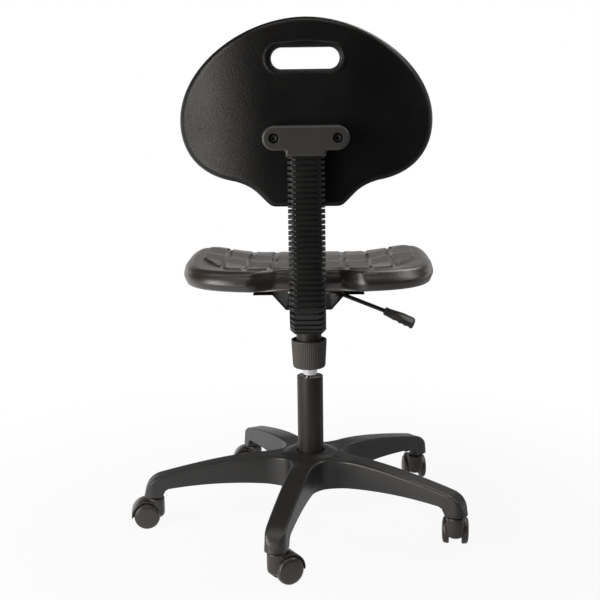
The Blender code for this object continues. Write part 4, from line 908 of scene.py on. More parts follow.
class CHAIR_OT_seat(bpy.types.Operator):
    """Moulded seat: a dished top with raised panels, a rolled edge and a recess for its board"""
    bl_idname = "chair.seat"
    bl_label = "Seat"

    def execute(self, context):
        s = context.scene.chair_seat
        count, side_rows, curl_rows, floor_rows = 274, 8, 7, 5
        crowd = 0.18  # crowds the grid's lines towards the edge
        panel_stop = 0.92  # share of the depth where the panels have faded
        boxy, sag = 8.0, 0.9  # powers of the board's flat and of the slope from it to the edge
        w = np.linspace(-1.0, 1.0, count)
        w = w + crowd * (w - w ** 3)
        u, v = np.meshgrid(w, w)
        part = np.maximum(np.maximum(np.abs(u), np.abs(v)), TINY)
        flat = seat_outline(s, u / part, v / part) * part[..., None]
        x, y = flat[..., 0], flat[..., 1]
        corner = s.panel_cut - np.abs(x) - s.panel_slant * np.maximum(y, 0.0)
        field = np.minimum((s.panel_side - np.abs(u)) * s.half, corner)
        panel = panel_rise(x, y, s, field, s.panel_wall) * (1 - ease(np.abs(v), s.panel_ends, panel_stop))
        roll, begin = seat_roll(s, y / part)
        high = seat_top(s, x, y) - roll * turn_in(part, begin) + panel
        top = shell(np.stack([x, y, high], axis=-1), False, False)
        one = np.ones(count - 1)
        square = np.concatenate([
            np.stack([w[:-1], -one], 1), np.stack([one, w[:-1]], 1),
            np.stack([w[:0:-1], one], 1), np.stack([-one, w[:0:-1]], 1)])
        ring = seat_outline(s, square[:, 0], square[:, 1])
        lift = seat_under(s, ring[:, 1])
        high = seat_top(s, ring[:, 0], ring[:, 1]) - seat_roll(s, ring[:, 1])[0]
        low = DECK + lift + s.roll_low
        k = np.linspace(0.0, 1.0, side_rows)[:, None]
        ends = band(np.abs(ring[:, 1]), s.deep, END_BAND)
        spread = 1.0 + s.splay * ends * np.sin(QUARTER * k) + s.swell * (1 - ends) * np.sin(math.pi * k)
        side = np.dstack([ring[None] * spread[..., None], high + (low - high) * k])
        ring = ring * (1.0 + s.splay * ends)[:, None]
        m = 1.0 - (1.0 - s.under_edge) * np.sin(np.linspace(0.0, QUARTER, curl_rows)[1:])[:, None]
        curl = np.dstack([ring[None] * m[..., None], DECK + lift + s.roll_low * turn_in(m, s.under_edge)])
        corner_low, corner_high = (np.asarray(c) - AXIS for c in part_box("seat_board"))
        centre, room = (corner_low + corner_high) / 2, (corner_high - corner_low) / 2 + GAP
        reach = (np.abs(square) ** boxy).sum(axis=1, keepdims=True) ** (-1.0 / boxy)
        shelf = centre[:2] + square * reach * (s.flat_x, s.flat_y)
        k = np.linspace(1.0, 0.0, floor_rows)[1:, None]
        floor = shelf + (ring * s.under_edge - shelf) * k[..., None]
        under = np.dstack([floor, DECK + lift * k ** sag])
        lip = centre[:2] + square * room[:2]
        levels = (DECK, corner_high[2] + GAP)
        recess = np.stack([np.column_stack([lip, np.full(len(lip), z)]) for z in levels])
        sides = shell(np.vstack([side, curl, under, recess]), False, True, (False, True))
        skin = piece("seat_skin", [top, sides], looks()["foam_seat"], "seat_frame", ("seat",),
                     weld=True)
        return {"FINISHED"}


# Bellows
def octagon(wide, deep, chamfer, edge):
    """The sleeve's section: a rectangle of half sizes wide and deep with cut, slightly rounded corners."""
    w, d, c = wide, deep, chamfer
    return rounded([(w, c - d), (w, d - c), (w - c, d), (c - w, d), (-w, d - c), (-w, c - d), (c - w, -d),
                    (w - c, -d)], edge, 4, True)


def rib_wave(count):
    """Place along the sleeve in ribs, and 0 on a crest to 1 in a groove, with squared, rounded ribs."""
    # Crest, wall and groove along one rib, as shares of its length
    corners = [(0.0, 0.0), (0.27, 0.0), (0.33, 1.0), (0.67, 1.0), (0.73, 0.0), (1.0, 0.0)]
    corner_trim, corner_steps = 0.035, 4
    one = rounded(corners, corner_trim, corner_steps)[:-1]
    place = (np.arange(count)[:, None] + one[:, 0]).ravel()
    return np.append(place, count), np.append(np.tile(one[:, 1], count), 0.0)


def ribbed(s, path_at, wave, span):
    """Crest and groove sections mixed by the wave, carried along a path, with a plain bore back down."""
    place, deep = wave
    run = place / place[-1] * span
    w, d, c = s.wide / 2, s.deep / 2, s.chamfer
    groove_cut, bore_cut, bore_rows = 0.8 * c, 0.64 * c, 12
    crest = octagon(w, d, c, s.edge)
    groove = octagon(w - s.rib_side, d - s.rib_face, groove_cut, s.edge)
    bore = octagon(w - s.rib_side - s.wall, d - s.rib_face - s.wall, bore_cut, s.edge)
    section = crest + deep[:, None, None] * (groove - crest)
    back = np.linspace(span, 0.0, bore_rows)
    section = np.concatenate([section, np.broadcast_to(bore, (len(back),) + bore.shape)])
    mid, out = path_at(np.concatenate([run, back]))
    points = mid[:, None] + section[..., :1] * (1.0, 0.0, 0.0) + section[..., 1:] * out[:, None]
    # Painted light and shade on the ribs: 1 on a crest, drawn lighter, to 0 in a groove, drawn darker.
    wear = np.concatenate([1 - deep, back * 0])[:, None]
    return shell(points, True, True, wear=wear)


class CHAIR_OT_bellows(bpy.types.Operator):
    """Ribbed sleeve on the back bar: a straight stretch and the bend under the seat"""
    bl_idname = "chair.bellows"
    bl_label = "Bellows"

    def execute(self, context):
        s = context.scene.chair_bellows
        low = DECK - s.arm_drop + s.bar_bend
        high = DECK + s.top
        axis_y = s.bend_y + s.bend_r

        def straight(run):
            zero = run * 0
            return np.stack([zero, zero + axis_y, low + run], 1), np.stack([zero, zero + 1, zero], 1)

        def bend(run):
            a = s.end + run / s.bend_r
            out = np.stack([a * 0, np.sin(a), -np.cos(a)], 1)
            return np.array([0.0, s.bend_y, low]) + s.bend_r * out, out

        look = looks()["rubber"]
        upright = ribbed(s, straight, rib_wave(s.ribs), high - low)
        sleeve = piece("bellows_upright", [upright], look, "back_arm", ("bellows",), sharp=50)
        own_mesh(sleeve)
        elbow = ribbed(s, bend, rib_wave(s.bend_ribs), s.bend_r * (QUARTER - s.end))
        piece("bellows_elbow", [elbow], look, "back_arm", ("bellows",), sharp=50)
        return {"FINISHED"}


# Bracket
def tee_outline(s, low, inset):
    """Outline (x, z) of the tee about its arms' middle, moved in by inset.

    A straight crown, a half circle at the arm's end, a rounded inner corner and the stem, mirrored.
    """
    arm, r, stem = s.half - s.round_r, s.round_r - inset, s.stem - inset
    lobe_steps, fillet_steps, crown_steps = 33, 9, 10
    a = np.linspace(QUARTER, -QUARTER, lobe_steps)
    lobe = np.stack([arm + r * np.cos(a), r * np.sin(a)], 1)
    inner = rounded([lobe[-1], (stem, -r), (stem, low + inset)], s.fillet + inset, fillet_steps)
    across = np.linspace(0.0, arm, crown_steps)[:-1]
    half = np.vstack([np.stack([across, across * 0 + r], 1), lobe, inner[1:]])
    return np.vstack([half, half[:0:-1] * (-1.0, 1.0)])


class CHAIR_OT_bracket(bpy.types.Operator):
    """Tee bracket that carries the back, with its two sunk socket screws"""
    bl_idname = "chair.bracket"
    bl_label = "Bracket"

    def execute(self, context):
        s = context.scene.chair_bracket
        crease = 35.0  # degrees past which an edge shows as sharp
        mid = DECK + s.mid
        low = context.scene.chair_bellows.top + GAP - s.mid
        q = np.linspace(0.0, QUARTER, 9)
        front = BRACKET_REAR - s.thick
        inset = np.concatenate([[0.0, 0.0], s.edge * (1 - np.cos(q)), [1.2 * s.edge]])
        roll = BRACKET_REAR - s.edge * (1 - np.sin(q))
        depth = np.concatenate([[front, (front + BRACKET_REAR) / 2], roll, [BRACKET_REAR]])
        flat = np.stack([tee_outline(s, low, step) for step in inset])
        rows = np.dstack([flat[..., 0], np.broadcast_to(depth[:, None], flat.shape[:2]), mid + flat[..., 1]])
        # Painted highlight: the rear edge's rounding is drawn lighter, most at its middle.
        wear = np.concatenate([[0.0, 0.0], np.sin(2 * q), [0.0]])[:, None]
        body = shell(rows, False, True, (True, True), wear)
        tee = piece("bracket_tee", [body], looks()["bracket"], "back", ("back_bracket",))
        foot = BRACKET_REAR - s.sink
        head = foot + GAP + s.head_t
        segs, flats = 48, 6
        bevel, past, chamfer = 0.0007, 0.004, 0.0008
        key_rim, key_wall, key_tip = 0.0003, 0.0040, 0.0046
        turn = round_angles(segs) % (TURN / flats) - TURN / (2 * flats)
        mouth = s.well_r + 2 * bevel
        well = [(s.well_r, foot), (s.well_r, BRACKET_REAR - bevel), (mouth, BRACKET_REAR + bevel),
                (mouth, BRACKET_REAR + past)]
        cap = [(s.head_r, foot + GAP), (s.head_r, head - chamfer), (s.head_r - chamfer, head),
               (s.key * 1.2, head), (s.key, head - key_rim), (s.key, head - key_wall),
               (s.key * 0.4, head - key_tip)]
        # How much of the hexagon each point of the cap takes: none outside, all in the key's wall
        hexed = np.array([0, 0, 0, 0.3, 1, 1, 0.0])[:, None]
        swell = hexed * s.key * (1 / np.cos(turn) - 1)
        for count, x in enumerate((-s.screw_x, s.screw_x), 1):
            at = (x, 0.0, mid)
            sunk = turned(well, segs, at, "Y")
            cutter = piece(f"bracket_cutter_{count}", [sunk], looks()["bracket"], "back")
            cut = tee.modifiers.new("well", "BOOLEAN")
            cut.operation, cut.solver, cut.object = "DIFFERENCE", "EXACT", cutter
            context.view_layer.update()
            baked = bpy.data.meshes.new_from_object(tee.evaluated_get(context.evaluated_depsgraph_get()))
            tee.modifiers.clear()
            tee.data = baked
            bpy.data.objects.remove(cutter, do_unlink=True)
            screw = turned(cap, segs, at, "Y", swell)
            piece(f"bracket_screw_{count}", [screw], looks()["blacked"], "back",
                  (f"bracket_bolt_{count}",), sharp=crease)
        tee.data.set_sharp_from_angle(angle=math.radians(crease))
        return {"FINISHED"}


# Base
FALL_POWER, FLARE_POWER, NOSE_POWER = 1.45, 2.2, 0.77
NOSE_STOP = 0.985  # share of the nose's quarter round that is used
HUB_FROM = 0.62  # share of the web where the hub's rim starts to fall
ARCH_MID = 0.576  # share of the reach where the arch is highest
SOLE_STEP = (1.25, 0.85)  # shares of the sole between which the underside steps down


def leg_top(s, r):
    """Leg's top height at a radius: level, then a power curve down, then a quarter round over the nose."""
    fall = s.fall * np.maximum(0.0, (r - s.fall_from) / (s.reach - s.fall_from)) ** FALL_POWER
    past = np.clip((r - s.reach + s.nose_from) / (s.nose + s.nose_from), 0.0, NOSE_STOP)
    hub = (s.hub_top - s.top) * (1 - ease(r, HUB_FROM * s.web, s.web))
    return s.top - fall + hub - s.nose_drop * (1 - np.sqrt(1 - past ** 2))


def leg_under(s, r):
    """Leg's underside: a shallow arch, then a step down to the stem's boss."""
    mid = s.reach * ARCH_MID
    arch = s.under + s.arch * (1 - ((np.minimum(r, s.reach) - mid) / (s.reach - s.sole - mid)) ** 2)
    start, stop = (s.reach - part * s.sole for part in SOLE_STEP)
    return arch + (s.end - arch) * ease(r, start, stop)


def leg_half(s, r):
    """Leg's half width at a radius: a straight taper with a power curve of flare near the hub."""
    flare = s.flare * np.maximum(0.0, 1 - (r - s.web) / s.flare_run) ** FLARE_POWER
    return s.half + s.spread * (s.reach - r) / s.reach + flare


def star_outline(s):
    """Clockwise plan of the base: for each leg a web arc, its side, its nose and the same mirrored."""
    lean = math.pi / 5
    first = np.array([s.web, leg_half(s, s.web)])
    a, b = lean - QUARTER, -math.atan(s.spread / s.reach + FLARE_POWER * s.flare / s.flare_run)
    rise, run = math.sin(b) - math.sin(a), math.cos(b) - math.cos(a)
    fillet = (math.tan(lean) * first[0] - first[1]) / (math.tan(lean) * rise + run)
    web_steps, side_steps, nose_steps = 13, 40, 14
    t = np.linspace(a, b, web_steps)[:-1]
    web = first + fillet * np.stack([np.sin(t) - math.sin(b), math.cos(b) - np.cos(t)], 1)
    along = np.linspace(s.web, s.reach, side_steps)[:-1]
    side = np.stack([along, leg_half(s, along)], 1)
    q = np.linspace(0.0, QUARTER, nose_steps)
    nose = np.stack([s.reach + s.nose * np.sin(q) ** NOSE_POWER, s.half * np.cos(q) ** NOSE_POWER], 1)
    half = np.vstack([web, side, nose])
    leg = np.vstack([half[:-1], half[::-1] * (1.0, -1.0)])[:-1]
    turns = s.turn + QUARTER - TURN * np.arange(5)[:, None] / 5
    c, d = np.cos(turns), np.sin(turns)
    return np.stack([leg[:, 0] * c - leg[:, 1] * d, leg[:, 0] * d + leg[:, 1] * c], -1).reshape(-1, 2)


def leg_turn(base, k):
    """Direction of a leg in plan and the place of its caster's stem."""
    t = base.turn + TURN * k / 5 + QUARTER
    return t, np.array([base.reach * math.cos(t), base.reach * math.sin(t), 0.0])


class CHAIR_OT_base(bpy.types.Operator):
    """Five-leg base: a hollow section carried round the star's outline and back through the hub's bore"""
    bl_idname = "chair.base"
    bl_label = "Base"

    def execute(self, context):
        s = context.scene.chair_base
        ring = star_outline(s)
        inward = loop_normal(ring)
        ray = ring / np.linalg.norm(ring, axis=1, keepdims=True)
        q = np.linspace(0.0, QUARTER, 8)
        sleeve_wall, throat, rim_sink = 0.0085, 0.0026, 0.0045
        bevel, lip, lip_in = 0.001, 0.0006, 0.0004
        rib_half, rib_up, rib_edge, rib_count = 0.002, 0.004, 0.0005, 4
        rib_near, rib_far = s.web + 0.018, s.reach - 0.036
        boss_draft = 0.0005
        sleeve, core = s.bore + sleeve_wall, 0.85 * s.web

        def size(flat):
            return np.linalg.norm(flat, axis=-1)

        def rows(flat, z):
            return np.dstack([flat, np.broadcast_to(z, flat.shape[:2])])

        hub = ray * np.linspace(s.bore + throat, core, 10)[:, None, None]
        rim = ring + inward * s.edge
        w = np.linspace(0.0, 1.0, 22)[1:-1, None, None]
        top = ray * core + (rim - ray * core) * w
        roll = ring + inward * (s.edge * (1 - np.sin(q)))[:, None, None]
        drop = s.edge * (1 - np.cos(q))[:, None]
        high = leg_top(s, size(ring)) - s.edge
        low = leg_under(s, size(ring))
        k = np.linspace(0.0, 1.0, 8)[1:]
        wall = ring - inward * (s.draft * k)[:, None, None]
        foot = ring + inward * np.array([lip_in, s.wall - bevel, s.wall])[:, None, None]
        inside = ring + inward * (s.wall + bevel * np.linspace(0.3, 1.0, 3))[:, None, None]
        roof = high + s.edge - s.wall
        lift = np.linspace(0.15, 1.0, 3)[:, None]
        w = np.linspace(0.0, 1.0, 14)[1:, None, None]
        under = inside[-1] + (ray * sleeve - inside[-1]) * w
        tube = ray * np.array([sleeve, sleeve - bevel, s.bore + bevel, s.bore, s.bore])[:, None, None]
        tube_z = [s.under + bevel, s.under, s.under, s.under + bevel, s.hub_top - rim_sink]
        points = np.vstack([
            rows(hub, leg_top(s, size(hub))), rows(top, leg_top(s, size(top))),
            rows(roll, leg_top(s, size(roll)) - drop), rows(wall, high + (low - high) * k[:, None]),
            rows(foot, low + np.array([-lip, -lip, 0.0])[:, None]),
            rows(inside, low + (roof - low) * lift), rows(under, leg_top(s, size(under)) - s.wall),
            rows(tube, np.array(tube_z)[:, None])])
        wear = np.zeros(len(points))
        first = len(hub) + len(top)
        # Painted highlight: the rounding of the legs' top edges is drawn lighter, most at its middle.
        wear[first:first + len(roll)] = np.sin(2 * q)
        shells = [shell(points, True, True, wear=wear[:, None])]
        boss = [(s.stem_r, s.end), (s.boss_r - boss_draft, s.end), (s.boss_r, s.end + s.stem_len),
                (s.stem_r, s.end + s.stem_len)]
        boss = rounded(boss, bevel, 4, True)
        for k in range(5):
            t, at = leg_turn(s, k)
            shells.append(turned(boss, 32, at, loop=True))
            for r in np.linspace(rib_near, rib_far, rib_count):
                half = leg_half(s, r) - s.wall
                bottom, ceiling = leg_under(s, r) + rib_up, leg_top(s, r) - s.wall
                v = np.linspace(-half, half, 5)
                path = np.stack([v * 0 + r, v, v * 0 + (bottom + ceiling) / 2], 1)
                rib = swept(path, box_loop(rib_half, (ceiling - bottom) / 2, rib_edge), (1.0, 0.0, 0.0))
                shells.append(moved(rib, (0.0, 0.0, 0.0), t))
        piece("star_base", shells, looks()["nylon"], "base", ("base_star",), sharp=50)
        return {"FINISHED"}


# Casters
class CHAIR_OT_casters(bpy.types.Operator):
    """Twin-wheel casters: hood with neck and fender, and two domed wheels on each"""
    bl_idname = "chair.casters"
    bl_label = "Casters"

    def execute(self, context):
        s, base = context.scene.chair_caster, context.scene.chair_base
        slack, tip, collar = 0.0008, 0.0008, 0.0060
        flange, hub_deep = 0.002, 0.005
        half = s.wheel_in - slack
        axle = np.array([s.trail, 0.0, s.wheel_r])
        fender_r = s.wheel_r + s.clear + s.fender
        # Neck as (radius, height), from its tapered foot up to the hole for the stem
        neck = [(tip, s.foot), (s.neck_r - 0.0055, s.foot), (s.neck_r - 0.0006, s.foot + 0.005),
                (s.neck_r, s.foot + 0.013), (s.neck_r, s.top - 0.0022), (s.neck_r - 0.0018, s.top),
                (collar, s.top)]
        neck = turned(rounded(neck, 0.004, 6), 56)

        def round_axle(start, stop, steps, radius):
            a = np.linspace(start, stop, steps)
            return axle + radius * np.stack([np.cos(a), a * 0, np.sin(a)], 1)

        steps, round_end, narrow = 48, 6.0, 0.12
        arch = round_axle(s.fender_from, s.fender_to, steps, fender_r - s.fender / 2)
        past = np.abs(np.linspace(-1.0, 1.0, steps)) * round_end - (round_end - 1.0)
        end = np.sqrt(1 - np.clip(past, 0.0, 0.995) ** 2)
        taper = np.stack([end * narrow + (1.0 - narrow), end], 1)[:, None]
        plate = box_loop(s.fender_half, s.fender / 2, 0.0013, 4) * taper
        fender = swept(arch, plate, (0.0, 1.0, 0.0))
        core = round_axle(s.fender_from + 0.03, s.fender_to - 0.05, 40, fender_r * 0.60)
        core = swept(core, box_loop(half, fender_r * 0.38, 0.0008), (0.0, 1.0, 0.0))
        boss = [(POLE, -half), (s.boss_r, -half), (s.boss_r, half), (POLE, half)]
        boss = turned(rounded(boss, 0.0006), 32, axle, "Y")
        out = s.wheel_in + s.wheel_w
        r = s.wheel_r
        # Wheel as (radius, place along the axle): domed face, tread, inner face with its ring, axle hole
        chamfer = 0.0012
        ring = s.wheel_in + flange
        face = [(POLE, out), (0.45 * r, out - 0.0003), (0.72 * r, out - 0.0010), (0.90 * r, out - 0.0024),
                (0.965 * r, out - 0.0044), (r, out - 0.0085), (r, s.wheel_in + chamfer),
                (r - chamfer, s.wheel_in), (0.84 * r, s.wheel_in), (0.80 * r, ring), (0.42 * r, ring),
                (0.38 * r, s.wheel_in), (s.axle_r, s.wheel_in), (s.axle_r, out - hub_deep),
                (POLE, out - hub_deep)]
        face = rounded(face, 0.0018, 5)
        tread = ease(face[:, 0], 0.93 * r, r)
        for k in range(5):
            at = leg_turn(base, k)[1]
            name = f"caster_{k + 1}"
            middle = sum(np.asarray(c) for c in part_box(f"{name}_axle")) / 2 - AXIS
            heading = math.atan2(middle[1] - at[1], middle[0] - at[0])
            shells = [moved(part, at, heading) for part in (neck, fender, core, boss)]
            piece(f"{name}_shell", shells, looks()["caster"], name, (f"{name}_hood",),
                  sharp=45)
            for side, sign in (("left", 1.0), ("right", -1.0)):
                wheel = turned(face * (1.0, sign), 72, axle, "Y", wear=tread)
                body = f"{name}_wheel_{side}"
                piece(f"{name}_tread_{side}", [moved(wheel, at, heading)], looks()["caster"], body,
                      (body,), sharp=50)
        return {"FINISHED"}


# Lift
class CHAIR_OT_lift(bpy.types.Operator):
    """Gas lift: coated column, notched bush and bright tube"""
    bl_idname = "chair.lift"
    bl_label = "Gas lift"

    def execute(self, context):
        s = context.scene.chair_lift
        inner = s.column_r - s.wall
        plate = s.column_low + 2 * s.wall
        foot_hole, button_hole, rod_hole = 0.0046, 0.0036, 0.0054
        head_len, guide_len = 0.008, 0.014
        rim_drop, rim_deep, rim_edge = 0.0006, 0.004, 0.001
        shape = [(s.column_r, s.column_low), (s.column_r, s.column_top), (inner, s.column_top),
                 (inner, plate), (foot_hole, plate), (foot_hole, s.column_low)]
        tube = turned(rounded(shape, 0.0008, 4, True), 96, loop=True)
        piece("column_tube", [tube], looks()["column"], "base", ("gas_column",), sharp=40)
        top, low = s.column_top - rim_drop, s.column_top - s.bush_len
        near, far = s.tube_r + GAP, inner - GAP
        ring = [(near, low), (far, low), (far, top - rim_deep), (far, top), (near + 0.0009, top),
                (near, top - rim_edge), (near, top - rim_deep)]
        segs = s.notches * 24
        gap = s.notch * ease(np.cos(s.notches * round_angles(segs)), 0.45, 0.75)
        notched = np.array([0, 0, 0, 1, 1, 1, 0])[:, None]  # the ring's points that a notch lowers
        bush = turned(ring, segs, lift=-notched * gap, loop=True)
        piece("column_mouth", [bush], looks()["bush"], "base", ("column_bush",), sharp=40)
        bore = s.tube_r - s.wall
        head, guide = s.tube_top - head_len, s.tube_low + guide_len
        tube = [(s.tube_r, s.tube_low), (s.tube_r, s.tube_top), (button_hole, s.tube_top),
                (button_hole, head), (bore, head), (bore, guide), (rod_hole, guide), (rod_hole, s.tube_low)]
        tube = turned(rounded(tube, 0.0007, 4, True), 72, loop=True)
        piece("bright_tube", [tube], looks()["chrome"], "seat_frame", ("pressure_tube",), sharp=40)
        return {"FINISHED"}


# Clamp
class CHAIR_OT_clamp(bpy.types.Operator):
    """Depth clamp: fluted knob and the spring cup above it"""
    bl_idname = "chair.clamp"
    bl_label = "Clamp"

    def execute(self, context):
        s = context.scene.chair_clamp
        at = (0.0, s.place, 0.0)
        low = DECK - s.low
        rim, floor = low + s.tall, low + s.floor
        hub_wall, nut_high, bolt_end, rim_edge = 0.0037, 0.008, 0.0045, 0.0012
        flute_from, flute_full, wall_rows = 0.001, 0.005, 28
        hub, nut = s.bolt_r + hub_wall, floor + nut_high
        # The knob as (radius, height): its rounded foot, the fluted wall, then the rim and the hollow inside
        under = rounded([(POLE, low), (s.foot - 0.006, low), (s.foot - 0.0010, low + 0.0016),
                         (s.foot, low + 0.0060)], 0.0022, 6)
        tall = np.linspace(0.0, 1.0, wall_rows)[1:-1, None]
        wall = under[-1] + (np.array([s.rim, rim - rim_edge]) - under[-1]) * tall
        inside = rounded([(s.rim, rim - rim_edge), (s.rim - rim_edge / 2, rim), (s.rim - s.wall, rim),
                          (s.foot - s.wall, floor), (hub, floor), (hub, nut), (s.bolt_r, nut),
                          (s.bolt_r, low + bolt_end), (POLE, low + bolt_end)], 0.0008, 4)
        shape = np.vstack([under, wall, inside])
        outside = np.arange(len(shape)) < len(under) + len(wall)
        reach = outside * ease(shape[:, 1], low + flute_from, low + flute_full)
        reach = reach * (1 - ease(shape[:, 1], rim - s.plain, rim - s.plain + rim_edge))
        segs = s.flutes * 8
        wave = np.abs(np.cos(s.flutes * round_angles(segs) / 2)) ** 0.7 - 1.0
        knob = turned(shape, segs, at, swell=reach[:, None] * s.flute * wave, wear=reach * 0.3)
        piece("knob_fluted", [knob], looks()["knob"], "knob", ("clamp_knob",), sharp=60)
        cup_low, cup_high = (float(c[2]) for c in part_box("spring_cup"))
        disc = cup_high - s.neck
        lid = disc - s.cup_lid
        hollow = s.cup_r - s.cup_wall
        cup = [(s.cup_r, cup_low), (s.cup_r, disc), (s.neck_r, disc), (s.neck_r, cup_high),
               (s.bolt_r, cup_high), (s.bolt_r, lid), (hollow, lid), (hollow, cup_low)]
        cup = turned(rounded(cup, 0.0010, 4, True), 80, at, loop=True)
        piece("cup_turned", [cup], looks()["column"], "seat_frame", ("spring_cup",), sharp=40)
        return {"FINISHED"}


# Lever
class CHAIR_OT_lever(bpy.types.Operator):
    """Height lever: bent rod and a boxy handle with finger scallops along its underside"""
    bl_idname = "chair.lever"
    bl_label = "Lever"

    def execute(self, context):
        s = context.scene.chair_lever
        pivot = np.array([s.pivot_x, DECK - s.pivot_z])
        mouth = np.array([s.mouth_x, DECK - s.mouth_z])
        run = np.array([-math.cos(s.tilt), -math.sin(s.tilt)])
        down = (pivot - mouth) / (pivot - mouth)[0]
        bend, beyond = 0.006, 0.006  # trim of the rod's bends, and how far its end passes the lift's axis
        head = (beyond, context.scene.chair_lift.tube_top + s.head)
        line = rounded([head, pivot + s.kink * down, mouth, mouth + s.inside * run], bend, 8)
        path = np.stack([line[:, 0], line[:, 0] * 0, line[:, 1]], 1)
        rod = swept(path, oval(s.rod_r, s.rod_r, 2.0, 24), (0.0, 1.0, 0.0))
        piece("lever_bar", [rod], looks()["enamel"], "lever", ("lever_rod",), sharp=50)
        # Places along the handle as shares of its length, closer at the mouth and round the nose
        lip, tip = 0.02, 0.93
        u = np.concatenate([np.linspace(0.0, lip, 5)[:-1], np.linspace(lip, tip, 80),
                            tip + (1.0 - tip) * np.sin(np.linspace(0.0, QUARTER, 10)[1:])])
        swell = ease(u, 0.05, 0.65)
        nose = np.sqrt(1 - np.clip((u - 0.90) / 0.104, 0.0, 1.0) ** 2)
        mouth_edge = 1 - 0.12 * (1 - ease(u, 0.0, lip))
        wide = s.wide * (0.56 + 0.44 * swell) * mouth_edge * (0.35 + 0.65 * nose)
        high = s.high * (0.74 + 0.26 * swell) * mouth_edge * (0.62 + 0.38 * nose)
        section = oval(wide, high, 7.0, 72)
        roof = s.roof * ease(u, 0.0, 0.85)[:, None] * np.maximum(0.0, section[..., 0]) / wide[:, None]
        section[..., 1] *= np.where(section[..., 1] > 0.0, 1.0 - roof, 1.0)
        grip_from, grip_run = 0.36, 0.56
        scallop = np.abs(np.sin(math.pi * s.ridges * (u - grip_from) / grip_run))
        scallop = scallop * ease(u, 0.34, 0.40) * (1 - ease(u, 0.88, 0.94))
        under = ease(-section[..., 1] / high[:, None], 0.45, 0.95)
        section[..., 1] += s.ridge * scallop[:, None] * under
        line = mouth + s.handle * u[:, None] * run
        path = np.stack([line[:, 0], u * 0, line[:, 1]], 1)
        # Painted highlight: the handle's sloping roof is drawn lighter.
        grip = swept(path, section, (0.0, 1.0, 0.0), wear=roof / s.roof)
        piece("lever_paddle", [grip], looks()["handle"], "lever", ("lever_handle",), sharp=60)
        return {"FINISHED"}


# Frame parts that stay as they are, by the start of their names
PLAIN = {
    "mech_tray": "powder", "gas_socket": "powder", "bar_guide": "powder", "lever_grommet": "rubber",
    "seat_bolt": "steel", "clamp_bolt": "steel", "clamp_spring": "steel", "seat_board": "wood",
    "j_bar": "steel", "slide_bar": "steel", "ratchet_sleeve": "bush", "ratchet_pawl": "steel",
    "backrest_plate": "steel", "thrust_bearing": "steel", "piston_rod": "steel", "rod_clip": "steel",
    "release_button": "steel", "caster": "blacked",
}


class CHAIR_OT_frame(bpy.types.Operator):
    """Finishes for the frame's own parts that stay in sight"""
    bl_idname = "chair.frame"
    bl_label = "Frame parts"

    def execute(self, context):
        for name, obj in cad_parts.items():
            for start, look in PLAIN.items():
                if name.startswith(start) and obj.data.materials:
                    obj.data.materials[0] = looks()[look]
        return {"FINISHED"}


# Stage, with each lamp's place, aim, size and the setting that holds its power
LAMPS = {
    "key_lamp": ((2.20, 1.50, 1.20), (0.0, 0.1, 0.55), (1.2, 1.7), "key"),
    "fill_lamp": ((-1.9, 0.35, 1.9), (0.0, 0.1, 0.5), (1.0, 1.0), "fill"),
    "low_lamp": ((1.50, 1.70, 0.30), (0.0, 0.15, 0.45), (1.2, 0.5), "low"),
    "front_lamp": ((-1.1, -1.0, 2.3), (0.0, 0.0, 0.5), (1.6, 1.0), "front"),
    "top_lamp": ((0.1, 1.2, 2.8), (0.0, 0.1, 0.5), (2.0, 1.0), "over"),
}
WHITE = (1.0, 1.0, 1.0, 1.0)


def lamp(name, at, aim, size, power, tint):
    """A rectangular area lamp that points at its aim."""
    light = bpy.data.lights.new(name, "AREA")
    light.shape = "RECTANGLE"
    light.size, light.size_y = size
    light.energy = power
    light.color = tint
    obj = bpy.data.objects.new(name, light)
    bpy.context.scene.collection.objects.link(obj)
    obj.location = at
    obj.rotation_euler = (Vector(aim) - Vector(at)).to_track_quat("-Z", "Y").to_euler()


def sight(pen):
    """1 for camera rays, and 1 for glossy or clear ones."""
    names = ("Is Camera Ray", "Is Glossy Ray", "Is Transmission Ray")
    camera, glossy, clear = (pen.node("LightPath", None, None, name) for name in names)
    return camera, glossy + clear


def either(pen, a, b):
    """The sum of two masks, held at 1."""
    return pen.node("Math", {"operation": "ADD", "use_clamp": True}, {0: a, 1: b})


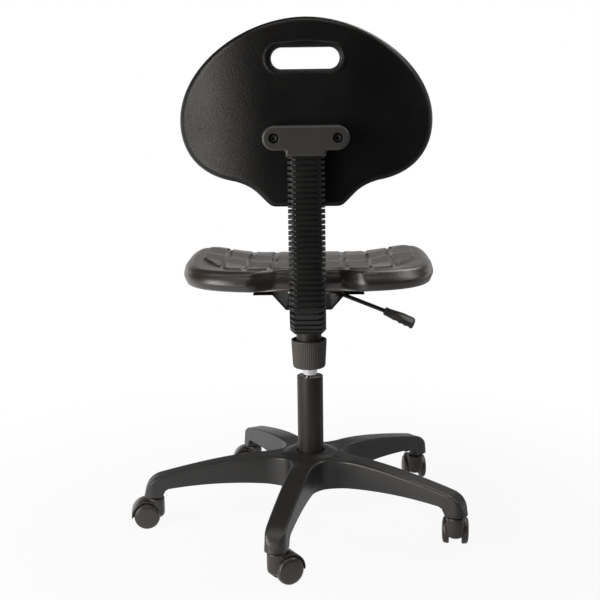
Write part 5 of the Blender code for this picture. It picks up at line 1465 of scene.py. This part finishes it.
class CHAIR_OT_stage(bpy.types.Operator):
    """White paper sweep in a dim studio, soft lamps and the camera"""
    bl_idname = "chair.stage"
    bl_label = "Stage"

    def execute(self, context):
        s, tints = context.scene.chair_stage, context.scene.chair_finish
        scene = context.scene
        scene.view_settings.view_transform = "Standard"
        self.world(scene, s)
        self.floor(scene, tints)
        for name, (at, aim, size, power) in LAMPS.items():
            lamp(name, at, aim, size, getattr(s, power), tints.lamp)
        self.camera(scene, s)
        return {"FINISHED"}

    def world(self, scene, s):
        scene.world = bpy.data.worlds.new("studio")
        scene.world.use_nodes = True
        scene.world.node_tree.nodes.clear()
        pen = Wire(scene.world.node_tree)
        camera, glossy = sight(pen)
        aim = pen.node("TexCoord", out="Generated")
        behind = ramp(pen, pen.node("SeparateXYZ", None, {0: aim}, "Y"), -0.30, 0.40, 1.0, 0.0)
        level = ramp(pen, pen.node("SeparateXYZ", None, {0: aim}, "Z"), 0.05, 0.27, 1.0, 0.0)
        seen = either(pen, camera, glossy * behind * level)
        white = pen.node("Background", None, {"Color": WHITE, "Strength": 1.0})
        room = pen.node("Background", None, {"Color": WHITE, "Strength": s.room})
        both = pen.node("MixShader", None, {0: seen, 1: room, 2: white})
        pen.node("OutputWorld", None, {"Surface": both})

    def floor(self, scene, tints):
        mat, pen = blank("studio_floor")
        camera, glossy = sight(pen)
        place = spot(pen)
        away = pen.node("VectorMath", {"operation": "LENGTH"}, {0: place}, "Value")
        across, along = (pen.node("SeparateXYZ", None, {0: place}, axis) for axis in "XY")
        # Painted shade: towards the camera's right the sweep is drawn darker, as if lit from the left, and
        # reflects less white.
        side = ramp(pen, across, -0.45, 0.30, 0.25, 1.0)
        painted_side_shade = side + (1.0 - side) * ramp(pen, along, 0.60, 1.20, 0.0, 1.0)
        sweep = painted_side_shade * ramp(pen, along, 0.65, 1.25, 1.0, 0.0)
        far = ramp(pen, away, 0.35, 1.10, 0.93, 1.0)
        seen = either(pen, camera, glossy * sweep)
        dust = noise(pen, place, 60.0, 3.0, 0.6)
        paper = shades(pen, dust, tone(tints.floor, 0.985), tone(tints.floor, 1.015))
        matt = pen.node("BsdfDiffuse", None, {"Color": shades(pen, sweep, tints.room, paper)})
        glow = pen.node("Emission", None, {"Color": WHITE, "Strength": 1.0})
        both = pen.node("MixShader", None, {0: seen * far, 1: matt, 2: glow})
        pen.node("OutputMaterial", None, {"Surface": both})
        mesh = bpy.data.meshes.new("studio_floor")
        wide = 12.0
        corners = [(-wide, -wide, 0.0), (wide, -wide, 0.0), (wide, wide, 0.0), (-wide, wide, 0.0)]
        mesh.from_pydata(corners, [], [(0, 1, 2, 3)])
        mesh.materials.append(mat)
        floor = bpy.data.objects.new("studio_floor", mesh)
        scene.collection.objects.link(floor)

    def camera(self, scene, s):
        shot = bpy.data.cameras.new("photo_camera")
        shot.lens = s.lens
        shot.sensor_width = 36.0
        shot.dof.use_dof = False
        eye = bpy.data.objects.new("photo_camera", shot)
        scene.collection.objects.link(eye)
        flat = math.cos(s.pitch)
        ahead = Vector((math.sin(s.heading) * flat, -math.cos(s.heading) * flat, -math.sin(s.pitch)))
        right = ahead.cross(Vector((0.0, 0.0, 1.0))).normalized()
        up = right.cross(ahead)
        c, d = math.cos(s.roll), math.sin(s.roll)
        right, up = right * c + up * d, up * c - right * d
        turn = Matrix((right, up, -ahead)).transposed().to_4x4()
        at = Vector((AXIS[0] + s.aside, AXIS[1] + s.far, s.high))
        eye.matrix_world = Matrix.Translation(at) @ turn
        scene.camera = eye


STEPS = (CHAIR_OT_frame, CHAIR_OT_back, CHAIR_OT_seat, CHAIR_OT_bellows, CHAIR_OT_bracket, CHAIR_OT_base,
         CHAIR_OT_casters, CHAIR_OT_lift, CHAIR_OT_clamp, CHAIR_OT_lever, CHAIR_OT_stage)


class CHAIR_PT_panel(bpy.types.Panel):
    """Sidebar panel with the chair's steps, sizes and colours"""
    bl_idname = "CHAIR_PT_panel"
    bl_label = "Task chair"
    bl_space_type = "VIEW_3D"
    bl_region_type = "UI"
    bl_category = "Task chair"

    def draw(self, context):
        for step in STEPS:
            self.layout.operator(step.bl_idname)
        for name, group in GROUPS.items():
            column = self.layout.column(align=True)
            column.label(text=group.__doc__)
            for prop in group.__annotations__:
                column.prop(getattr(context.scene, name), prop)


def register():
    for group in GROUPS.values():
        bpy.utils.register_class(group)
    for name, group in GROUPS.items():
        setattr(bpy.types.Scene, name, bpy.props.PointerProperty(type=group))
    for step in STEPS + (CHAIR_PT_panel,):
        bpy.utils.register_class(step)


def unregister():
    for step in STEPS + (CHAIR_PT_panel,):
        bpy.utils.unregister_class(step)
    for name, group in GROUPS.items():
        delattr(bpy.types.Scene, name)
        bpy.utils.unregister_class(group)


def main():
    register()
    for step in STEPS:
        family, name = step.bl_idname.split(".")
        getattr(getattr(bpy.ops, family), name)()


if __name__ == "__main__":
    main()
